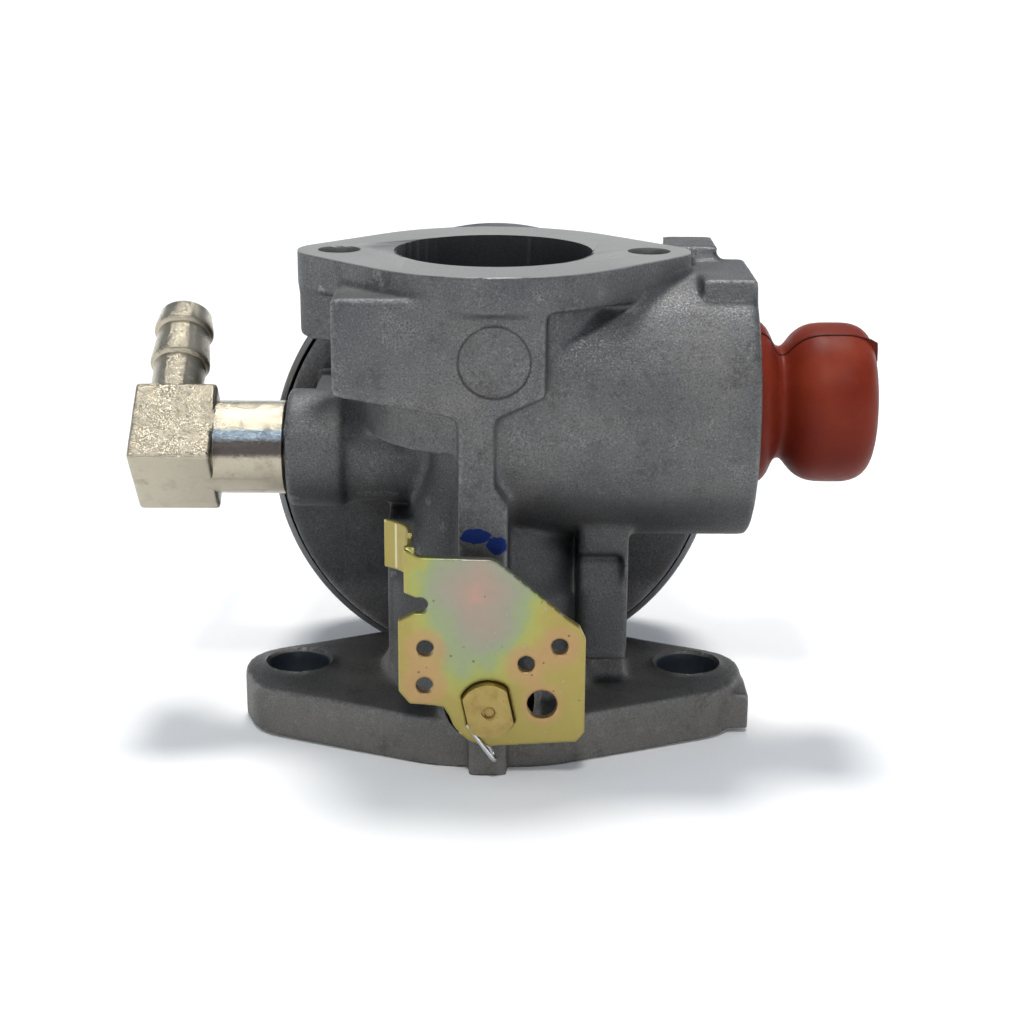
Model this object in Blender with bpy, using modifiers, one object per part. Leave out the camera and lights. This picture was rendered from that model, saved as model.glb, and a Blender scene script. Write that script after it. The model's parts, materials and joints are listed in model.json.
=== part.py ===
"""A small-engine float carburetor with a primer bulb, as separate pieces in metres, +Z up.

The bore is vertical and stands on the engine flange, the float bowl is behind it (+Y), the throttle
lever in front (-Y), the fuel inlet at the left (-X) and the primer bulb at the right (+X). Pieces are
modelled from the bore's axis at the engine face. One empty carries them all, so that the finished
object is centred over the origin and its lowest point, the bowl's rim, is at Z = 0.
"""

import math

import bmesh
import bpy
from mathutils import Matrix, Vector

ROUND = 48  # sides of a large round shape
SMALL_ROUND = 24
TINY_ROUND = 16
GAP = 0.0003  # left between two pieces that touch
OVERSHOOT = 0.001  # how far a cutter runs past the face it cuts

# Casting: flanges and bore
BODY_HEIGHT = 0.0570  # engine face to air-cleaner face
STUD_SPACING = 0.0476
STUD_HOLE_RADIUS = 0.0037
ENGINE_FLANGE_THICKNESS = 0.0058
ENGINE_FLANGE_RADIUS = 0.0167
ENGINE_FLANGE_REACH = 0.0178  # from the bore's axis to the front edge
ENGINE_FLANGE_FLAT = 0.0050  # the straight stretch in the middle of the front edge
ENGINE_FLANGE_END_RADIUS = 0.0066
ENGINE_FLANGE_END_SKEW = 0.0027  # the ends are fuller in front than behind
GATE_LUG_REACH = 0.0005  # past the right end
AIR_SCREW_SPACING = 0.0358
AIR_SCREW_RADIUS = 0.0025
AIR_SCREW_DEPTH = 0.0100
AIR_FLANGE_THICKNESS = 0.0042
AIR_FLANGE_RADIUS = 0.0181
AIR_EAR_RADIUS = 0.0049
AIR_BORE_RADIUS = 0.01136
AIR_BORE_DEPTH = 0.0110
THROAT_RADIUS = 0.0065
THROAT_HEIGHT = 0.0315  # middle of the narrowest stretch
THROAT_LENGTH = 0.0040
THROTTLE_BORE_RADIUS = 0.0095
THROTTLE_BORE_TOP = 0.0195
BARREL_RADIUS = 0.0150
BARREL_BOTTOM = 0.0361
THROTTLE_BARREL_RADIUS = 0.0127
THROTTLE_BARREL_TOP = 0.0180
NECK_WALL = 0.0019

# Front of the casting: plate, rib and bosses
PLATE_FRONT = -0.0170
PLATE_BACK = -0.0050
PLATE_LEFT = -0.0176
PLATE_RIGHT = 0.0059
PLATE_TOP = 0.0544
PLATE_BOTTOM_LEFT = 0.0435
PLATE_BOTTOM_RIGHT = 0.0410
RIB_LEFT = -0.0038
RIB_RIGHT = 0.0003
RIB_FOOT_RIGHT = 0.0018
RIB_FOOT_TOP = 0.0312
PAD_CENTRE = Vector((0.0002, 0.0, 0.0474))
PAD_RADIUS = 0.0040
PAD_DEPTH = 0.0003
SIDE_BOSS_LEFT = 0.0100
SIDE_BOSS_RIGHT = 0.0158
SIDE_BOSS_FRONT = -0.0100
SIDE_BOSS_BOTTOM = 0.0101
POCKET_DEPTH = 0.0018
POCKET_BOTTOM = 0.0160
POCKET_TOP = 0.0232
PLUG_RADIUS = 0.0032
PLUG_THICKNESS = 0.0008
PLUG_CENTRE = Vector((SIDE_BOSS_RIGHT, -0.0045, 0.0150))

# Throttle
SHAFT_X = -0.0003
SHAFT_Z = 0.0092
SHAFT_RADIUS = 0.0032
SHAFT_FRONT = -0.0234
SHAFT_BACK = 0.0140
SHAFT_FLATS = 0.0050  # across the flats of the lever's seat
CLOSED_TILT = math.radians(12.0)
SHAFT_BOSS_RADIUS = 0.0062
SHAFT_BOSS_FRONT = -0.0171
PLATE_THICKNESS = 0.0010
PLATE_CLEARANCE = 0.0007  # the tilted disc inside the round bore
SCREW_RADIUS = 0.0012
SCREW_HEAD_RADIUS = 0.0024
SCREW_HEAD_HEIGHT = 0.0010
LEVER_FRONT = -0.0224
LEVER_THICKNESS = 0.0012
SEAL_RADIUS = 0.0045
SEAL_THICKNESS = 0.0005
WASHER_THICKNESS = 0.0003
SPRING_RADIUS = 0.0037
SPRING_WIRE = 0.00025
SPRING_TURNS = 2
SPRING_CLEARANCE = 0.00015  # between the lever's back and the wire
SPRING_LEG_ANGLE = math.radians(217.0)  # where the leg leaves the coil
SPRING_LEG_LENGTH = 0.0058
SPRING_BLOCK_FRONT = -0.0203
SPRING_BLOCK_TOP = 0.0040

# Float bowl and float
BOWL_HEIGHT = 0.0270  # its axis over the engine face
BOWL_X = -0.0001
BOWL_RIM_RADIUS = 0.0285
BOWL_RIM_FRONT = 0.0189
BOWL_DEPTH = 0.0250
BOWL_WALL = 0.0008
RIM_DEPTH = 0.0026
SHOULDER = 0.0012
COVER_THICKNESS = 0.0029
COVER_FRONT = 0.0172
TOWER_RADIUS = 0.0046
NUT_SHANK_RADIUS = 0.0029
NUT_FLATS = 0.0127
NUT_HEIGHT = 0.0050
FIBRE_WASHER_THICKNESS = 0.0010
FIBRE_WASHER_RADIUS = 0.0058
GASKET_WIRE = 0.0004
FLOAT_RADIUS = 0.0202
FLOAT_HOLE_RADIUS = 0.0080
FLOAT_THICKNESS = 0.0085
FLOAT_ARM_THICKNESS = 0.0016
FLOAT_ARM_WIDTH = 0.0050
PIN_X = -0.0215
PIN_STAND_OFF = 0.0042  # the hinge pin behind the bowl cover's face
PIN_RADIUS = 0.0008
HINGE_BARREL_RADIUS = 0.0019
POST_THICKNESS = 0.0020
PIN_END = 0.0006

# Fuel inlet
INLET_Y = 0.0030
INLET_Z = 0.0325
INLET_BOSS_RADIUS = 0.0071
INLET_BOSS_LEFT = -0.0246
INLET_STEP_X = -0.0179
INLET_NECK_RADIUS = 0.0064
NEEDLE_X = -0.0173
NEEDLE_RADIUS = 0.0015
NEEDLE_TIP_LENGTH = 0.0024
SEAT_RADIUS = 0.0027
SEAT_HOLE_RADIUS = 0.0009
SEAT_THICKNESS = 0.0015
RETAINER_THICKNESS = 0.0034
SEAT_BORE_FLOOR = 0.0130
FUEL_HOLE_RADIUS = 0.0011
CLIP_TAIL = 0.0012  # how far its two ends run on past the needle's head
CLIP_WIRE = 0.0002
ELBOW_BLOCK_LEFT = -0.0431
ELBOW_BLOCK_RIGHT = -0.0331
ELBOW_BLOCK_SIDE = 0.0112
ELBOW_STEM_RADIUS = 0.0056
ELBOW_SPIGOT_RADIUS = 0.0031
ELBOW_SPIGOT_LENGTH = 0.0045
ELBOW_PASSAGE_RADIUS = 0.0019
BARB_X = -0.0391
BARB_RADIUS = 0.00325
BARB_RING_RADIUS = 0.00368
BARB_LENGTH = 0.0147
BARB_RISE = math.radians(39.5)  # above the horizontal, leaning away from the lever

# Primer
PRIMER_Z = 0.0392
PRIMER_BOSS_RADIUS = 0.0157
PRIMER_BOSS_RIGHT = 0.0299
PRIMER_CHAMBER_RADIUS = 0.0075
PRIMER_CHAMBER_LEFT = 0.0150
BULB_BASE_RADIUS = 0.0097
BULB_BASE_LEFT = 0.0250
BULB_BASE_RIGHT = 0.0325
BULB_NECK_RADIUS = 0.0060
BULB_CAP_LEFT = 0.0338
BULB_END = 0.0447
BULB_RADIUS = 0.0094
BULB_HOLLOW_RADIUS = 0.0072
BULB_BREATH_RADIUS = 0.0042
BULB_FACE_RADIUS = 0.0063
BULB_FACE_THICKNESS = 0.0021
RETAINER_RING_WIDTH = 0.0010
RETAINER_RING_BITE = 0.0015

# Derived places
NUT_BACK = (
    BOWL_RIM_FRONT + BOWL_DEPTH + GAP + FIBRE_WASHER_THICKNESS + GAP + NUT_HEIGHT
)
COVER_BACK = COVER_FRONT + COVER_THICKNESS
COVER_RADIUS = BOWL_RIM_RADIUS - BOWL_WALL - GAP
BORE_AXIS = Vector(
    (
        -(ELBOW_BLOCK_LEFT + BULB_END) / 2,
        -(SHAFT_FRONT + NUT_BACK) / 2,
        BOWL_RIM_RADIUS - BOWL_HEIGHT,
    )
)
X, Y, Z = Vector((1, 0, 0)), Vector((0, 1, 0)), Vector((0, 0, 1))


# ---------------------------------------------------------------- scene and materials


def clear_scene():
    for obj in list(bpy.data.objects):
        bpy.data.objects.remove(obj, do_unlink=True)


def new_collection(name):
    collection = bpy.data.collections.new(name)
    bpy.context.scene.collection.children.link(collection)
    return collection


def new_material(name, colour, roughness, metallic):
    material = bpy.data.materials.new(name)
    material.use_nodes = True
    shader = material.node_tree.nodes["Principled BSDF"]
    shader.inputs["Base Color"].default_value = (*colour, 1.0)
    shader.inputs["Roughness"].default_value = roughness
    shader.inputs["Metallic"].default_value = metallic
    return material


def new_empty(name, location, parent=None, tilt=0.0):
    """An empty on a joint's axis. The tilt turns it about Y, from +X towards +Z."""
    empty = bpy.data.objects.new(name, None)
    empty.location = location
    empty.rotation_euler = (0.0, -tilt, 0.0)
    empty.parent = parent
    empty.empty_display_size = 0.005
    PARTS.objects.link(empty)
    return empty


def new_object(name, bm, parent, material=None):
    """A named object from a bmesh. With no material it is a cutter or a building block."""
    bmesh.ops.recalc_face_normals(bm, faces=bm.faces)
    mesh = bpy.data.meshes.new(name)
    bm.to_mesh(mesh)
    bm.free()
    obj = bpy.data.objects.new(name, mesh)
    obj.parent = parent
    if material is None:
        CUTTERS.objects.link(obj)
        obj.hide_render = True
        obj.display_type = "WIRE"
    else:
        PARTS.objects.link(obj)
        mesh.materials.append(material)
        mesh.shade_smooth()
        mesh.set_sharp_from_angle(angle=math.radians(35))
    return obj


# ---------------------------------------------------------------- shapes


def block(name, low, high, parent, material=None):
    low, high = Vector(low), Vector(high)
    bm = bmesh.new()
    bmesh.ops.create_cube(bm, size=1.0)
    bmesh.ops.scale(bm, vec=high - low, verts=bm.verts)
    bmesh.ops.translate(bm, vec=(low + high) / 2, verts=bm.verts)
    return new_object(name, bm, parent, material)


def rod(name, start, end, radius, parent, material=None, sides=ROUND, end_radius=None):
    """A cylinder from start to end, or a cone where the two radii differ."""
    start, end = Vector(start), Vector(end)
    along = end - start
    turn = along.to_track_quat("Z", "Y").to_matrix().to_4x4()
    bm = bmesh.new()
    bmesh.ops.create_cone(
        bm,
        cap_ends=True,
        segments=sides,
        radius1=radius,
        radius2=radius if end_radius is None else end_radius,
        depth=along.length,
        matrix=Matrix.Translation((start + end) / 2) @ turn,
    )
    return new_object(name, bm, parent, material)


def turned(name, profile, foot, direction, parent, material=None, sides=ROUND):
    """Turns (radius, height) points about a line through foot. The profile closes on
    itself, or starts and ends on the axis."""
    on_axis = profile[0][0] == 0.0
    bm = bmesh.new()
    verts = [bm.verts.new((radius, 0.0, height)) for radius, height in profile]
    ends = verts[1:] if on_axis else verts[1:] + verts[:1]
    for first, second in zip(verts, ends):
        bm.edges.new((first, second))
    pairs = zip(profile, profile[1:] + profile[:1])
    area = sum(r1 * h2 - r2 * h1 for (r1, h1), (r2, h2) in pairs)
    mesh = bpy.data.meshes.new(name)
    bm.to_mesh(mesh)
    bm.free()
    obj = bpy.data.objects.new(name, mesh)
    obj.parent = parent
    obj.location = foot
    obj.rotation_euler = Vector(direction).to_track_quat("Z", "Y").to_euler()
    screw = obj.modifiers.new("Turn", "SCREW")
    screw.steps = screw.render_steps = sides
    screw.use_merge_vertices = True
    screw.merge_threshold = 1e-6
    screw.use_normal_flip = area > 0
    if material is None:
        CUTTERS.objects.link(obj)
        obj.hide_render = True
        obj.display_type = "WIRE"
    else:
        PARTS.objects.link(obj)
        mesh.materials.append(material)
    return obj


def prism(name, outline, axis, start, depth, parent, material=None):
    """Fills a flat outline and extrudes it. The outline's two numbers are (x, z) when the
    axis is Y, (x, y) when it is Z and (y, z) when it is X."""
    places = {
        "X": lambda a, b: (start, a, b),
        "Y": lambda a, b: (a, start, b),
        "Z": lambda a, b: (a, b, start),
    }
    along = {"X": X, "Y": Y, "Z": Z}[axis] * depth
    bm = bmesh.new()
    face = bm.faces.new([bm.verts.new(places[axis](a, b)) for a, b in outline])
    side = bmesh.ops.extrude_face_region(bm, geom=[face])
    moved = [item for item in side["geom"] if isinstance(item, bmesh.types.BMVert)]
    bmesh.ops.translate(bm, vec=along, verts=moved)
    return new_object(name, bm, parent, material)


def lobed_flange(name, circles, bottom, top, parent):
    """The taut outline round several circles, each (x, y, radius), between two heights."""
    bm = bmesh.new()
    for x, y, radius in circles:
        for step in range(ROUND):
            angle = 2 * math.pi * (step + 0.5) / ROUND
            for z in (bottom, top):
                place = (x + radius * math.cos(angle), y + radius * math.sin(angle), z)
                bm.verts.new(place)
    hull = bmesh.ops.convex_hull(bm, input=bm.verts)
    spare = [v for v in hull["geom_interior"] + hull["geom_unused"] if v.is_valid]
    bmesh.ops.delete(bm, geom=list(set(spare)), context="VERTS")
    bmesh.ops.dissolve_limit(
        bm, angle_limit=math.radians(0.5), verts=bm.verts, edges=bm.edges
    )
    return new_object(name, bm, parent)


def wire(name, points, radius, parent, material, cyclic=False):
    """A round wire through the points."""
    curve = bpy.data.curves.new(name, "CURVE")
    curve.dimensions = "3D"
    curve.bevel_depth = radius
    curve.bevel_resolution = 2
    curve.use_fill_caps = True
    spline = curve.splines.new("POLY")
    spline.points.add(len(points) - 1)
    spline.use_cyclic_u = cyclic
    for point, place in zip(spline.points, points):
        point.co = (*place, 1.0)
    obj = bpy.data.objects.new(name, curve)
    obj.parent = parent
    curve.materials.append(material)
    PARTS.objects.link(obj)
    return obj


def combine(target, others, operation):
    for other in others:
        modifier = target.modifiers.new(other.name, "BOOLEAN")
        modifier.operation = operation
        modifier.solver = "EXACT"
        modifier.object = other


def arc(centre, radius, first, last, steps):
    """Points on an arc, with its angles in degrees."""
    points = []
    for step in range(steps + 1):
        angle = math.radians(first + (last - first) * step / steps)
        points.append(
            (centre[0] + radius * math.cos(angle), centre[1] + radius * math.sin(angle))
        )
    return points


# ---------------------------------------------------------------- casting


def flange_blocks(root):
    half_studs, half_screws = STUD_SPACING / 2, AIR_SCREW_SPACING / 2
    end, middle = ENGINE_FLANGE_END_RADIUS, ENGINE_FLANGE_RADIUS
    middle_y = middle - ENGINE_FLANGE_REACH
    engine = []
    for side in (-1, 1):
        engine += [
            (side * half_studs, -0.0003, end),
            (side * (half_studs - 0.0012), -ENGINE_FLANGE_END_SKEW, end + 0.0003),
            (side * ENGINE_FLANGE_FLAT / 2, middle_y, middle),
        ]
    lug = half_studs + end + GATE_LUG_REACH
    air = [
        (-half_screws, 0.0, AIR_EAR_RADIUS),
        (0.0, 0.0, AIR_FLANGE_RADIUS),
        (half_screws, 0.0, AIR_EAR_RADIUS),
    ]
    air_bottom = BODY_HEIGHT - AIR_FLANGE_THICKNESS
    ear = [
        (-half_screws, 0.0, AIR_EAR_RADIUS - 0.0002),
        (-BARREL_RADIUS / 2, 0.0, 0.006),
    ]
    ear_bottom = BODY_HEIGHT - AIR_SCREW_DEPTH
    return [
        lobed_flange("engine_flange", engine, 0.0, ENGINE_FLANGE_THICKNESS, root),
        lobed_flange("air_flange", air, air_bottom, BODY_HEIGHT, root),
        lobed_flange("left_ear", ear, ear_bottom, air_bottom + OVERSHOOT, root),
        block("gate_lug", (lug - 0.0032, -0.0065, 0.0003), (lug, -0.0005, 0.0045), root),
    ]


def barrel_blocks(root):
    throat = THROAT_RADIUS + NECK_WALL
    barrel = THROTTLE_BARREL_RADIUS
    neck = [
        (0.0, BARREL_BOTTOM + 0.002),
        (throat, BARREL_BOTTOM + 0.002),
        (throat, THROAT_HEIGHT + 0.001),
        (THROTTLE_BORE_RADIUS + 0.0009, THROTTLE_BORE_TOP + 0.0045),
        (THROTTLE_BORE_RADIUS + NECK_WALL, THROTTLE_BARREL_TOP + 0.002),
        (barrel, THROTTLE_BARREL_TOP),
        (barrel, ENGINE_FLANGE_THICKNESS + 0.0022),
        (barrel + 0.0012, ENGINE_FLANGE_THICKNESS - 0.0008),
        (0.0, ENGINE_FLANGE_THICKNESS - 0.0008),
    ]
    top = BODY_HEIGHT - AIR_FLANGE_THICKNESS + OVERSHOOT
    return [
        rod("upper_barrel", Z * BARREL_BOTTOM, Z * top, BARREL_RADIUS, root),
        turned("neck", neck, (0, 0, 0), Z, root),
    ]


def front_blocks(root):
    plate = [
        (PLATE_LEFT, PLATE_TOP),
        (PLATE_LEFT, PLATE_BOTTOM_LEFT),
        (RIB_LEFT, PLATE_BOTTOM_RIGHT),
        (RIB_RIGHT, PLATE_BOTTOM_RIGHT),
        (PLATE_RIGHT, PLATE_BOTTOM_LEFT),
        (PLATE_RIGHT, PLATE_TOP),
    ]
    rib_bottom = SHAFT_Z + SHAFT_BOSS_RADIUS * 0.7
    rib = [
        (RIB_LEFT, PLATE_BOTTOM_RIGHT + 0.001),
        (RIB_LEFT, rib_bottom),
        (RIB_FOOT_RIGHT, rib_bottom),
        (RIB_FOOT_RIGHT, RIB_FOOT_TOP),
        (RIB_RIGHT, RIB_FOOT_TOP + 0.002),
        (RIB_RIGHT, PLATE_BOTTOM_RIGHT + 0.001),
    ]
    rib_front = PLATE_FRONT + 0.00003
    shaft = Vector((SHAFT_X, 0, SHAFT_Z))
    return [
        prism("front_plate", plate, "Y", PLATE_FRONT, PLATE_BACK - PLATE_FRONT, root),
        prism("front_rib", rib, "Y", rib_front, -0.007 - rib_front, root),
        rod(
            "shaft_boss",
            shaft + Y * SHAFT_BOSS_FRONT,
            shaft - Y * 0.008,
            SHAFT_BOSS_RADIUS,
            root,
        ),
        rod("shaft_rear_boss", shaft + Y * 0.008, shaft + Y * 0.018, 0.005, root),
        block(
            "spring_block",
            (-0.0026, SPRING_BLOCK_FRONT, 0.0001),
            (0.0018, -0.0150, SPRING_BLOCK_TOP),
            root,
        ),
        block("passage_boss", (-0.0126, -0.0040, 0.0050), (-0.0070, 0.0020, 0.0256), root),
        block(
            "side_boss",
            (SIDE_BOSS_LEFT, SIDE_BOSS_FRONT, SIDE_BOSS_BOTTOM),
            (SIDE_BOSS_RIGHT, 0.0020, 0.0300),
            root,
        ),
        block(
            "side_boss_foot",
            (SIDE_BOSS_LEFT - 0.0007, -0.0046, ENGINE_FLANGE_THICKNESS - 0.001),
            (SIDE_BOSS_RIGHT - 0.0001, 0.0019, SIDE_BOSS_BOTTOM + 0.001),
            root,
        ),
    ]


def inlet_blocks(root):
    axis = Vector((0, INLET_Y, INLET_Z))
    needle = Vector((NEEDLE_X, 0, INLET_Z))
    back = COVER_FRONT + OVERSHOOT
    return [
        rod(
            "inlet_boss",
            axis + X * INLET_BOSS_LEFT,
            axis + X * INLET_STEP_X,
            INLET_BOSS_RADIUS,
            root,
        ),
        rod(
            "inlet_neck",
            axis + X * (INLET_STEP_X - OVERSHOOT),
            axis - X * 0.002,
            INLET_NECK_RADIUS,
            root,
        ),
        rod("seat_boss", needle + Y * INLET_Y, needle + Y * back, 0.0062, root),
        block("inlet_web", (-0.0220, 0.0063, 0.0272), (-0.0045, back, 0.0385), root),
    ]


def primer_blocks(root):
    axis = Vector((0, 0, PRIMER_Z))
    right = PRIMER_BOSS_RIGHT
    pad_top = PRIMER_Z + PRIMER_BOSS_RADIUS + 0.00015
    back = COVER_FRONT + OVERSHOOT
    return [
        rod("primer_boss", axis - X * 0.001, axis + X * right, PRIMER_BOSS_RADIUS, root),
        block(
            "primer_pad",
            (right - 0.0063, -0.0078, 0.0460),
            (right - 0.00005, 0.0072, pad_top),
            root,
        ),
        block("screw_pad", (0.0204, 0.0050, 0.0450), (0.0264, 0.0140, 0.0558), root),
        block("cover_gusset", (0.0192, 0.0135, 0.0212), (0.0200, back, 0.0300), root),
        block("primer_bridge", (-0.0075, 0.0060, 0.0280), (0.0220, back, 0.0500), root),
        block("barrel_bridge", (-0.0120, 0.0080, 0.0380), (0.0120, back, 0.0535), root),
    ]


def cover_blocks(root):
    axis = Vector((BOWL_X, 0, BOWL_HEIGHT))
    tower_end = BOWL_RIM_FRONT + BOWL_DEPTH - BOWL_WALL - GAP
    pin_y = COVER_BACK + PIN_STAND_OFF
    blocks = [
        rod(
            "bowl_cover",
            axis + Y * COVER_FRONT,
            axis + Y * COVER_BACK,
            COVER_RADIUS,
            root,
            sides=64,
        ),
        rod("cover_hub", axis + Y * 0.004, axis + Y * (COVER_FRONT + 0.001), 0.0095, root),
        rod(
            "tower",
            axis + Y * (COVER_BACK - 0.001),
            axis + Y * tower_end,
            TOWER_RADIUS,
            root,
            sides=SMALL_ROUND,
        ),
    ]
    for name, side in (("lower_post", -1), ("upper_post", 1)):
        inner = INLET_Z + side * (FLOAT_ARM_WIDTH / 2 + GAP)
        outer = inner + side * POST_THICKNESS
        blocks.append(
            block(
                name,
                (PIN_X - 0.0017, COVER_BACK - 0.001, min(inner, outer)),
                (PIN_X + 0.0017, pin_y + 0.0019, max(inner, outer)),
                root,
            )
        )
    return blocks


def bore_cutters(root):
    half_throat = THROAT_LENGTH / 2
    bore = [
        (0.0, BODY_HEIGHT + OVERSHOOT),
        (AIR_BORE_RADIUS, BODY_HEIGHT + OVERSHOOT),
        (AIR_BORE_RADIUS, BODY_HEIGHT - AIR_BORE_DEPTH),
        (THROAT_RADIUS, THROAT_HEIGHT + half_throat),
        (THROAT_RADIUS, THROAT_HEIGHT - half_throat),
        (THROTTLE_BORE_RADIUS, THROTTLE_BORE_TOP),
        (THROTTLE_BORE_RADIUS, -OVERSHOOT),
        (0.0, -OVERSHOOT),
    ]
    cutters = [turned("bore_cutter", bore, (0, 0, 0), Z, root)]
    for side in (-1, 1):
        stud = X * side * STUD_SPACING / 2
        screw = X * side * AIR_SCREW_SPACING / 2
        cutters += [
            rod(
                f"stud_cutter_{side}",
                stud - Z * OVERSHOOT,
                stud + Z * (ENGINE_FLANGE_THICKNESS + OVERSHOOT),
                STUD_HOLE_RADIUS,
                root,
                sides=32,
            ),
            rod(
                f"screw_cutter_{side}",
                screw + Z * (BODY_HEIGHT - AIR_SCREW_DEPTH - 0.0002),
                screw + Z * (BODY_HEIGHT + OVERSHOOT),
                AIR_SCREW_RADIUS,
                root,
                sides=SMALL_ROUND,
            ),
        ]
    return cutters


def throttle_cutters(root):
    shaft = Vector((SHAFT_X, 0, SHAFT_Z))
    return [
        rod(
            "shaft_cutter",
            shaft + Y * (SHAFT_BOSS_FRONT - OVERSHOOT),
            shaft + Y * (SHAFT_BACK + GAP),
            SHAFT_RADIUS + GAP,
            root,
            sides=SMALL_ROUND,
        ),
        rod(
            "seal_recess_cutter",
            shaft + Y * SPRING_BLOCK_FRONT,
            shaft + Y * SHAFT_BOSS_FRONT,
            SEAL_RADIUS + GAP,
            root,
        ),
        rod(
            "pad_cutter",
            PAD_CENTRE + Y * (PLATE_FRONT - OVERSHOOT),
            PAD_CENTRE + Y * (PLATE_FRONT + PAD_DEPTH),
            PAD_RADIUS,
            root,
        ),
        prism(
            "pocket_cutter",
            [
                (SIDE_BOSS_FRONT - OVERSHOOT, POCKET_BOTTOM),
                (SIDE_BOSS_FRONT - OVERSHOOT, POCKET_TOP),
                (SIDE_BOSS_FRONT + POCKET_DEPTH, POCKET_TOP - 0.0002),
            ],
            "X",
            SIDE_BOSS_LEFT - OVERSHOOT,
            SIDE_BOSS_RIGHT - SIDE_BOSS_LEFT + OVERSHOOT - 0.0006,
            root,
        ),
        rod(
            "plug_cutter",
            PLUG_CENTRE - X * (PLUG_THICKNESS + GAP),
            PLUG_CENTRE + X * OVERSHOOT,
            PLUG_RADIUS + GAP,
            root,
            sides=SMALL_ROUND,
        ),
    ]


def inlet_cutters(root):
    axis = Vector((0, INLET_Y, INLET_Z))
    needle = Vector((NEEDLE_X, 0, INLET_Z))
    spigot_end = INLET_BOSS_LEFT + ELBOW_SPIGOT_LENGTH + GAP
    return [
        rod(
            "spigot_cutter",
            axis + X * (INLET_BOSS_LEFT - OVERSHOOT),
            axis + X * spigot_end,
            ELBOW_SPIGOT_RADIUS + GAP,
            root,
            sides=SMALL_ROUND,
        ),
        rod(
            "gallery_cutter",
            axis + X * (spigot_end - OVERSHOOT),
            axis + X * (NEEDLE_X + 0.0015),
            ELBOW_PASSAGE_RADIUS,
            root,
            sides=TINY_ROUND,
        ),
        rod(
            "feed_cutter",
            needle + Y * INLET_Y,
            needle + Y * (SEAT_BORE_FLOOR + OVERSHOOT),
            FUEL_HOLE_RADIUS,
            root,
            sides=TINY_ROUND,
        ),
        rod(
            "seat_cutter",
            needle + Y * SEAT_BORE_FLOOR,
            needle + Y * (COVER_BACK + OVERSHOOT),
            SEAT_RADIUS + GAP,
            root,
            sides=SMALL_ROUND,
        ),
    ]


def bowl_side_cutters(root):
    axis = Vector((BOWL_X, 0, BOWL_HEIGHT))
    tower_end = BOWL_RIM_FRONT + BOWL_DEPTH
    pin = Vector((PIN_X, COVER_BACK + PIN_STAND_OFF, INLET_Z))
    reach = FLOAT_ARM_WIDTH / 2 + POST_THICKNESS + OVERSHOOT
    return [
        rod(
            "nozzle_cutter",
            axis + Y * (THROAT_RADIUS - 0.002),
            axis + Y * 0.0345,
            0.0019 + GAP,
            root,
            sides=TINY_ROUND,
        ),
        rod(
            "thread_cutter",
            axis + Y * 0.0335,
            axis + Y * tower_end,
            NUT_SHANK_RADIUS + GAP,
            root,
            sides=SMALL_ROUND,
        ),
        rod(
            "pin_cutter",
            pin - Z * reach,
            pin + Z * reach,
            PIN_RADIUS + GAP,
            root,
            sides=TINY_ROUND,
        ),
    ]


def primer_cutters(root):
    axis = Vector((0, 0, PRIMER_Z))
    passage = Vector((PRIMER_CHAMBER_LEFT + 0.003, 0, PRIMER_Z))
    return [
        rod(
            "bulb_seat_cutter",
            axis + X * (BULB_BASE_LEFT - GAP),
            axis + X * (PRIMER_BOSS_RIGHT + OVERSHOOT),
            BULB_BASE_RADIUS + GAP,
            root,
        ),
        rod(
            "chamber_cutter",
            axis + X * PRIMER_CHAMBER_LEFT,
            axis + X * BULB_BASE_LEFT,
            PRIMER_CHAMBER_RADIUS,
            root,
            sides=32,
        ),
        rod(
            "breath_cutter",
            passage + Y * 0.002,
            passage + Y * (COVER_BACK + OVERSHOOT),
            0.0012,
            root,
            sides=TINY_ROUND,
        ),
    ]


def make_casting(root, metal):
    """One casting: blocks joined, then bored and drilled."""
    body = block(
        "carburetor_body",
        (-0.0060, 0.0070, ENGINE_FLANGE_THICKNESS - 0.0010),
        (0.0060, COVER_FRONT + 0.0005, 0.0160),
        root,
        metal,
    )
    blocks = flange_blocks(root) + barrel_blocks(root) + front_blocks(root)
    blocks += inlet_blocks(root) + primer_blocks(root) + cover_blocks(root)
    combine(body, blocks, "UNION")
    cutters = bore_cutters(root) + throttle_cutters(root) + inlet_cutters(root)
    cutters += bowl_side_cutters(root) + primer_cutters(root)
    combine(body, cutters, "DIFFERENCE")


def make_idle_plug(root, metal):
    """A soft disc pressed over the idle chamber's drilling."""
    rod(
        "idle_chamber_plug",
        PLUG_CENTRE - X * PLUG_THICKNESS,
        PLUG_CENTRE - X * 0.0001,
        PLUG_RADIUS,
        root,
        metal,
        sides=SMALL_ROUND,
    )


# ---------------------------------------------------------------- bowl


def make_bowl(root, steel):
    """A drawn cup with a wider rim, which slips over the casting's round cover."""
    rim, wall = BOWL_RIM_RADIUS, BOWL_RIM_RADIUS - SHOULDER
    depth, sheet = BOWL_DEPTH, BOWL_WALL
    corner = 0.0050
    outer = arc((wall - corner, depth - corner), corner, 0, 90, 6)
    inner = arc((wall - corner, depth - corner), corner - sheet, 90, 0, 6)
    hole = NUT_SHANK_RADIUS + GAP
    profile = [(rim, 0.0), (rim, RIM_DEPTH), (wall, RIM_DEPTH + SHOULDER)]
    profile += outer + [(hole, depth), (hole, depth - sheet)] + inner
    profile += [
        (wall - sheet, RIM_DEPTH + SHOULDER - sheet / 2),
        (rim - sheet, RIM_DEPTH - sheet / 2),
        (rim - sheet, 0.0),
    ]
    foot = (BOWL_X, BOWL_RIM_FRONT, BOWL_HEIGHT)
    turned("fuel_bowl", profile, foot, Y, root, steel, sides=64)


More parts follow.
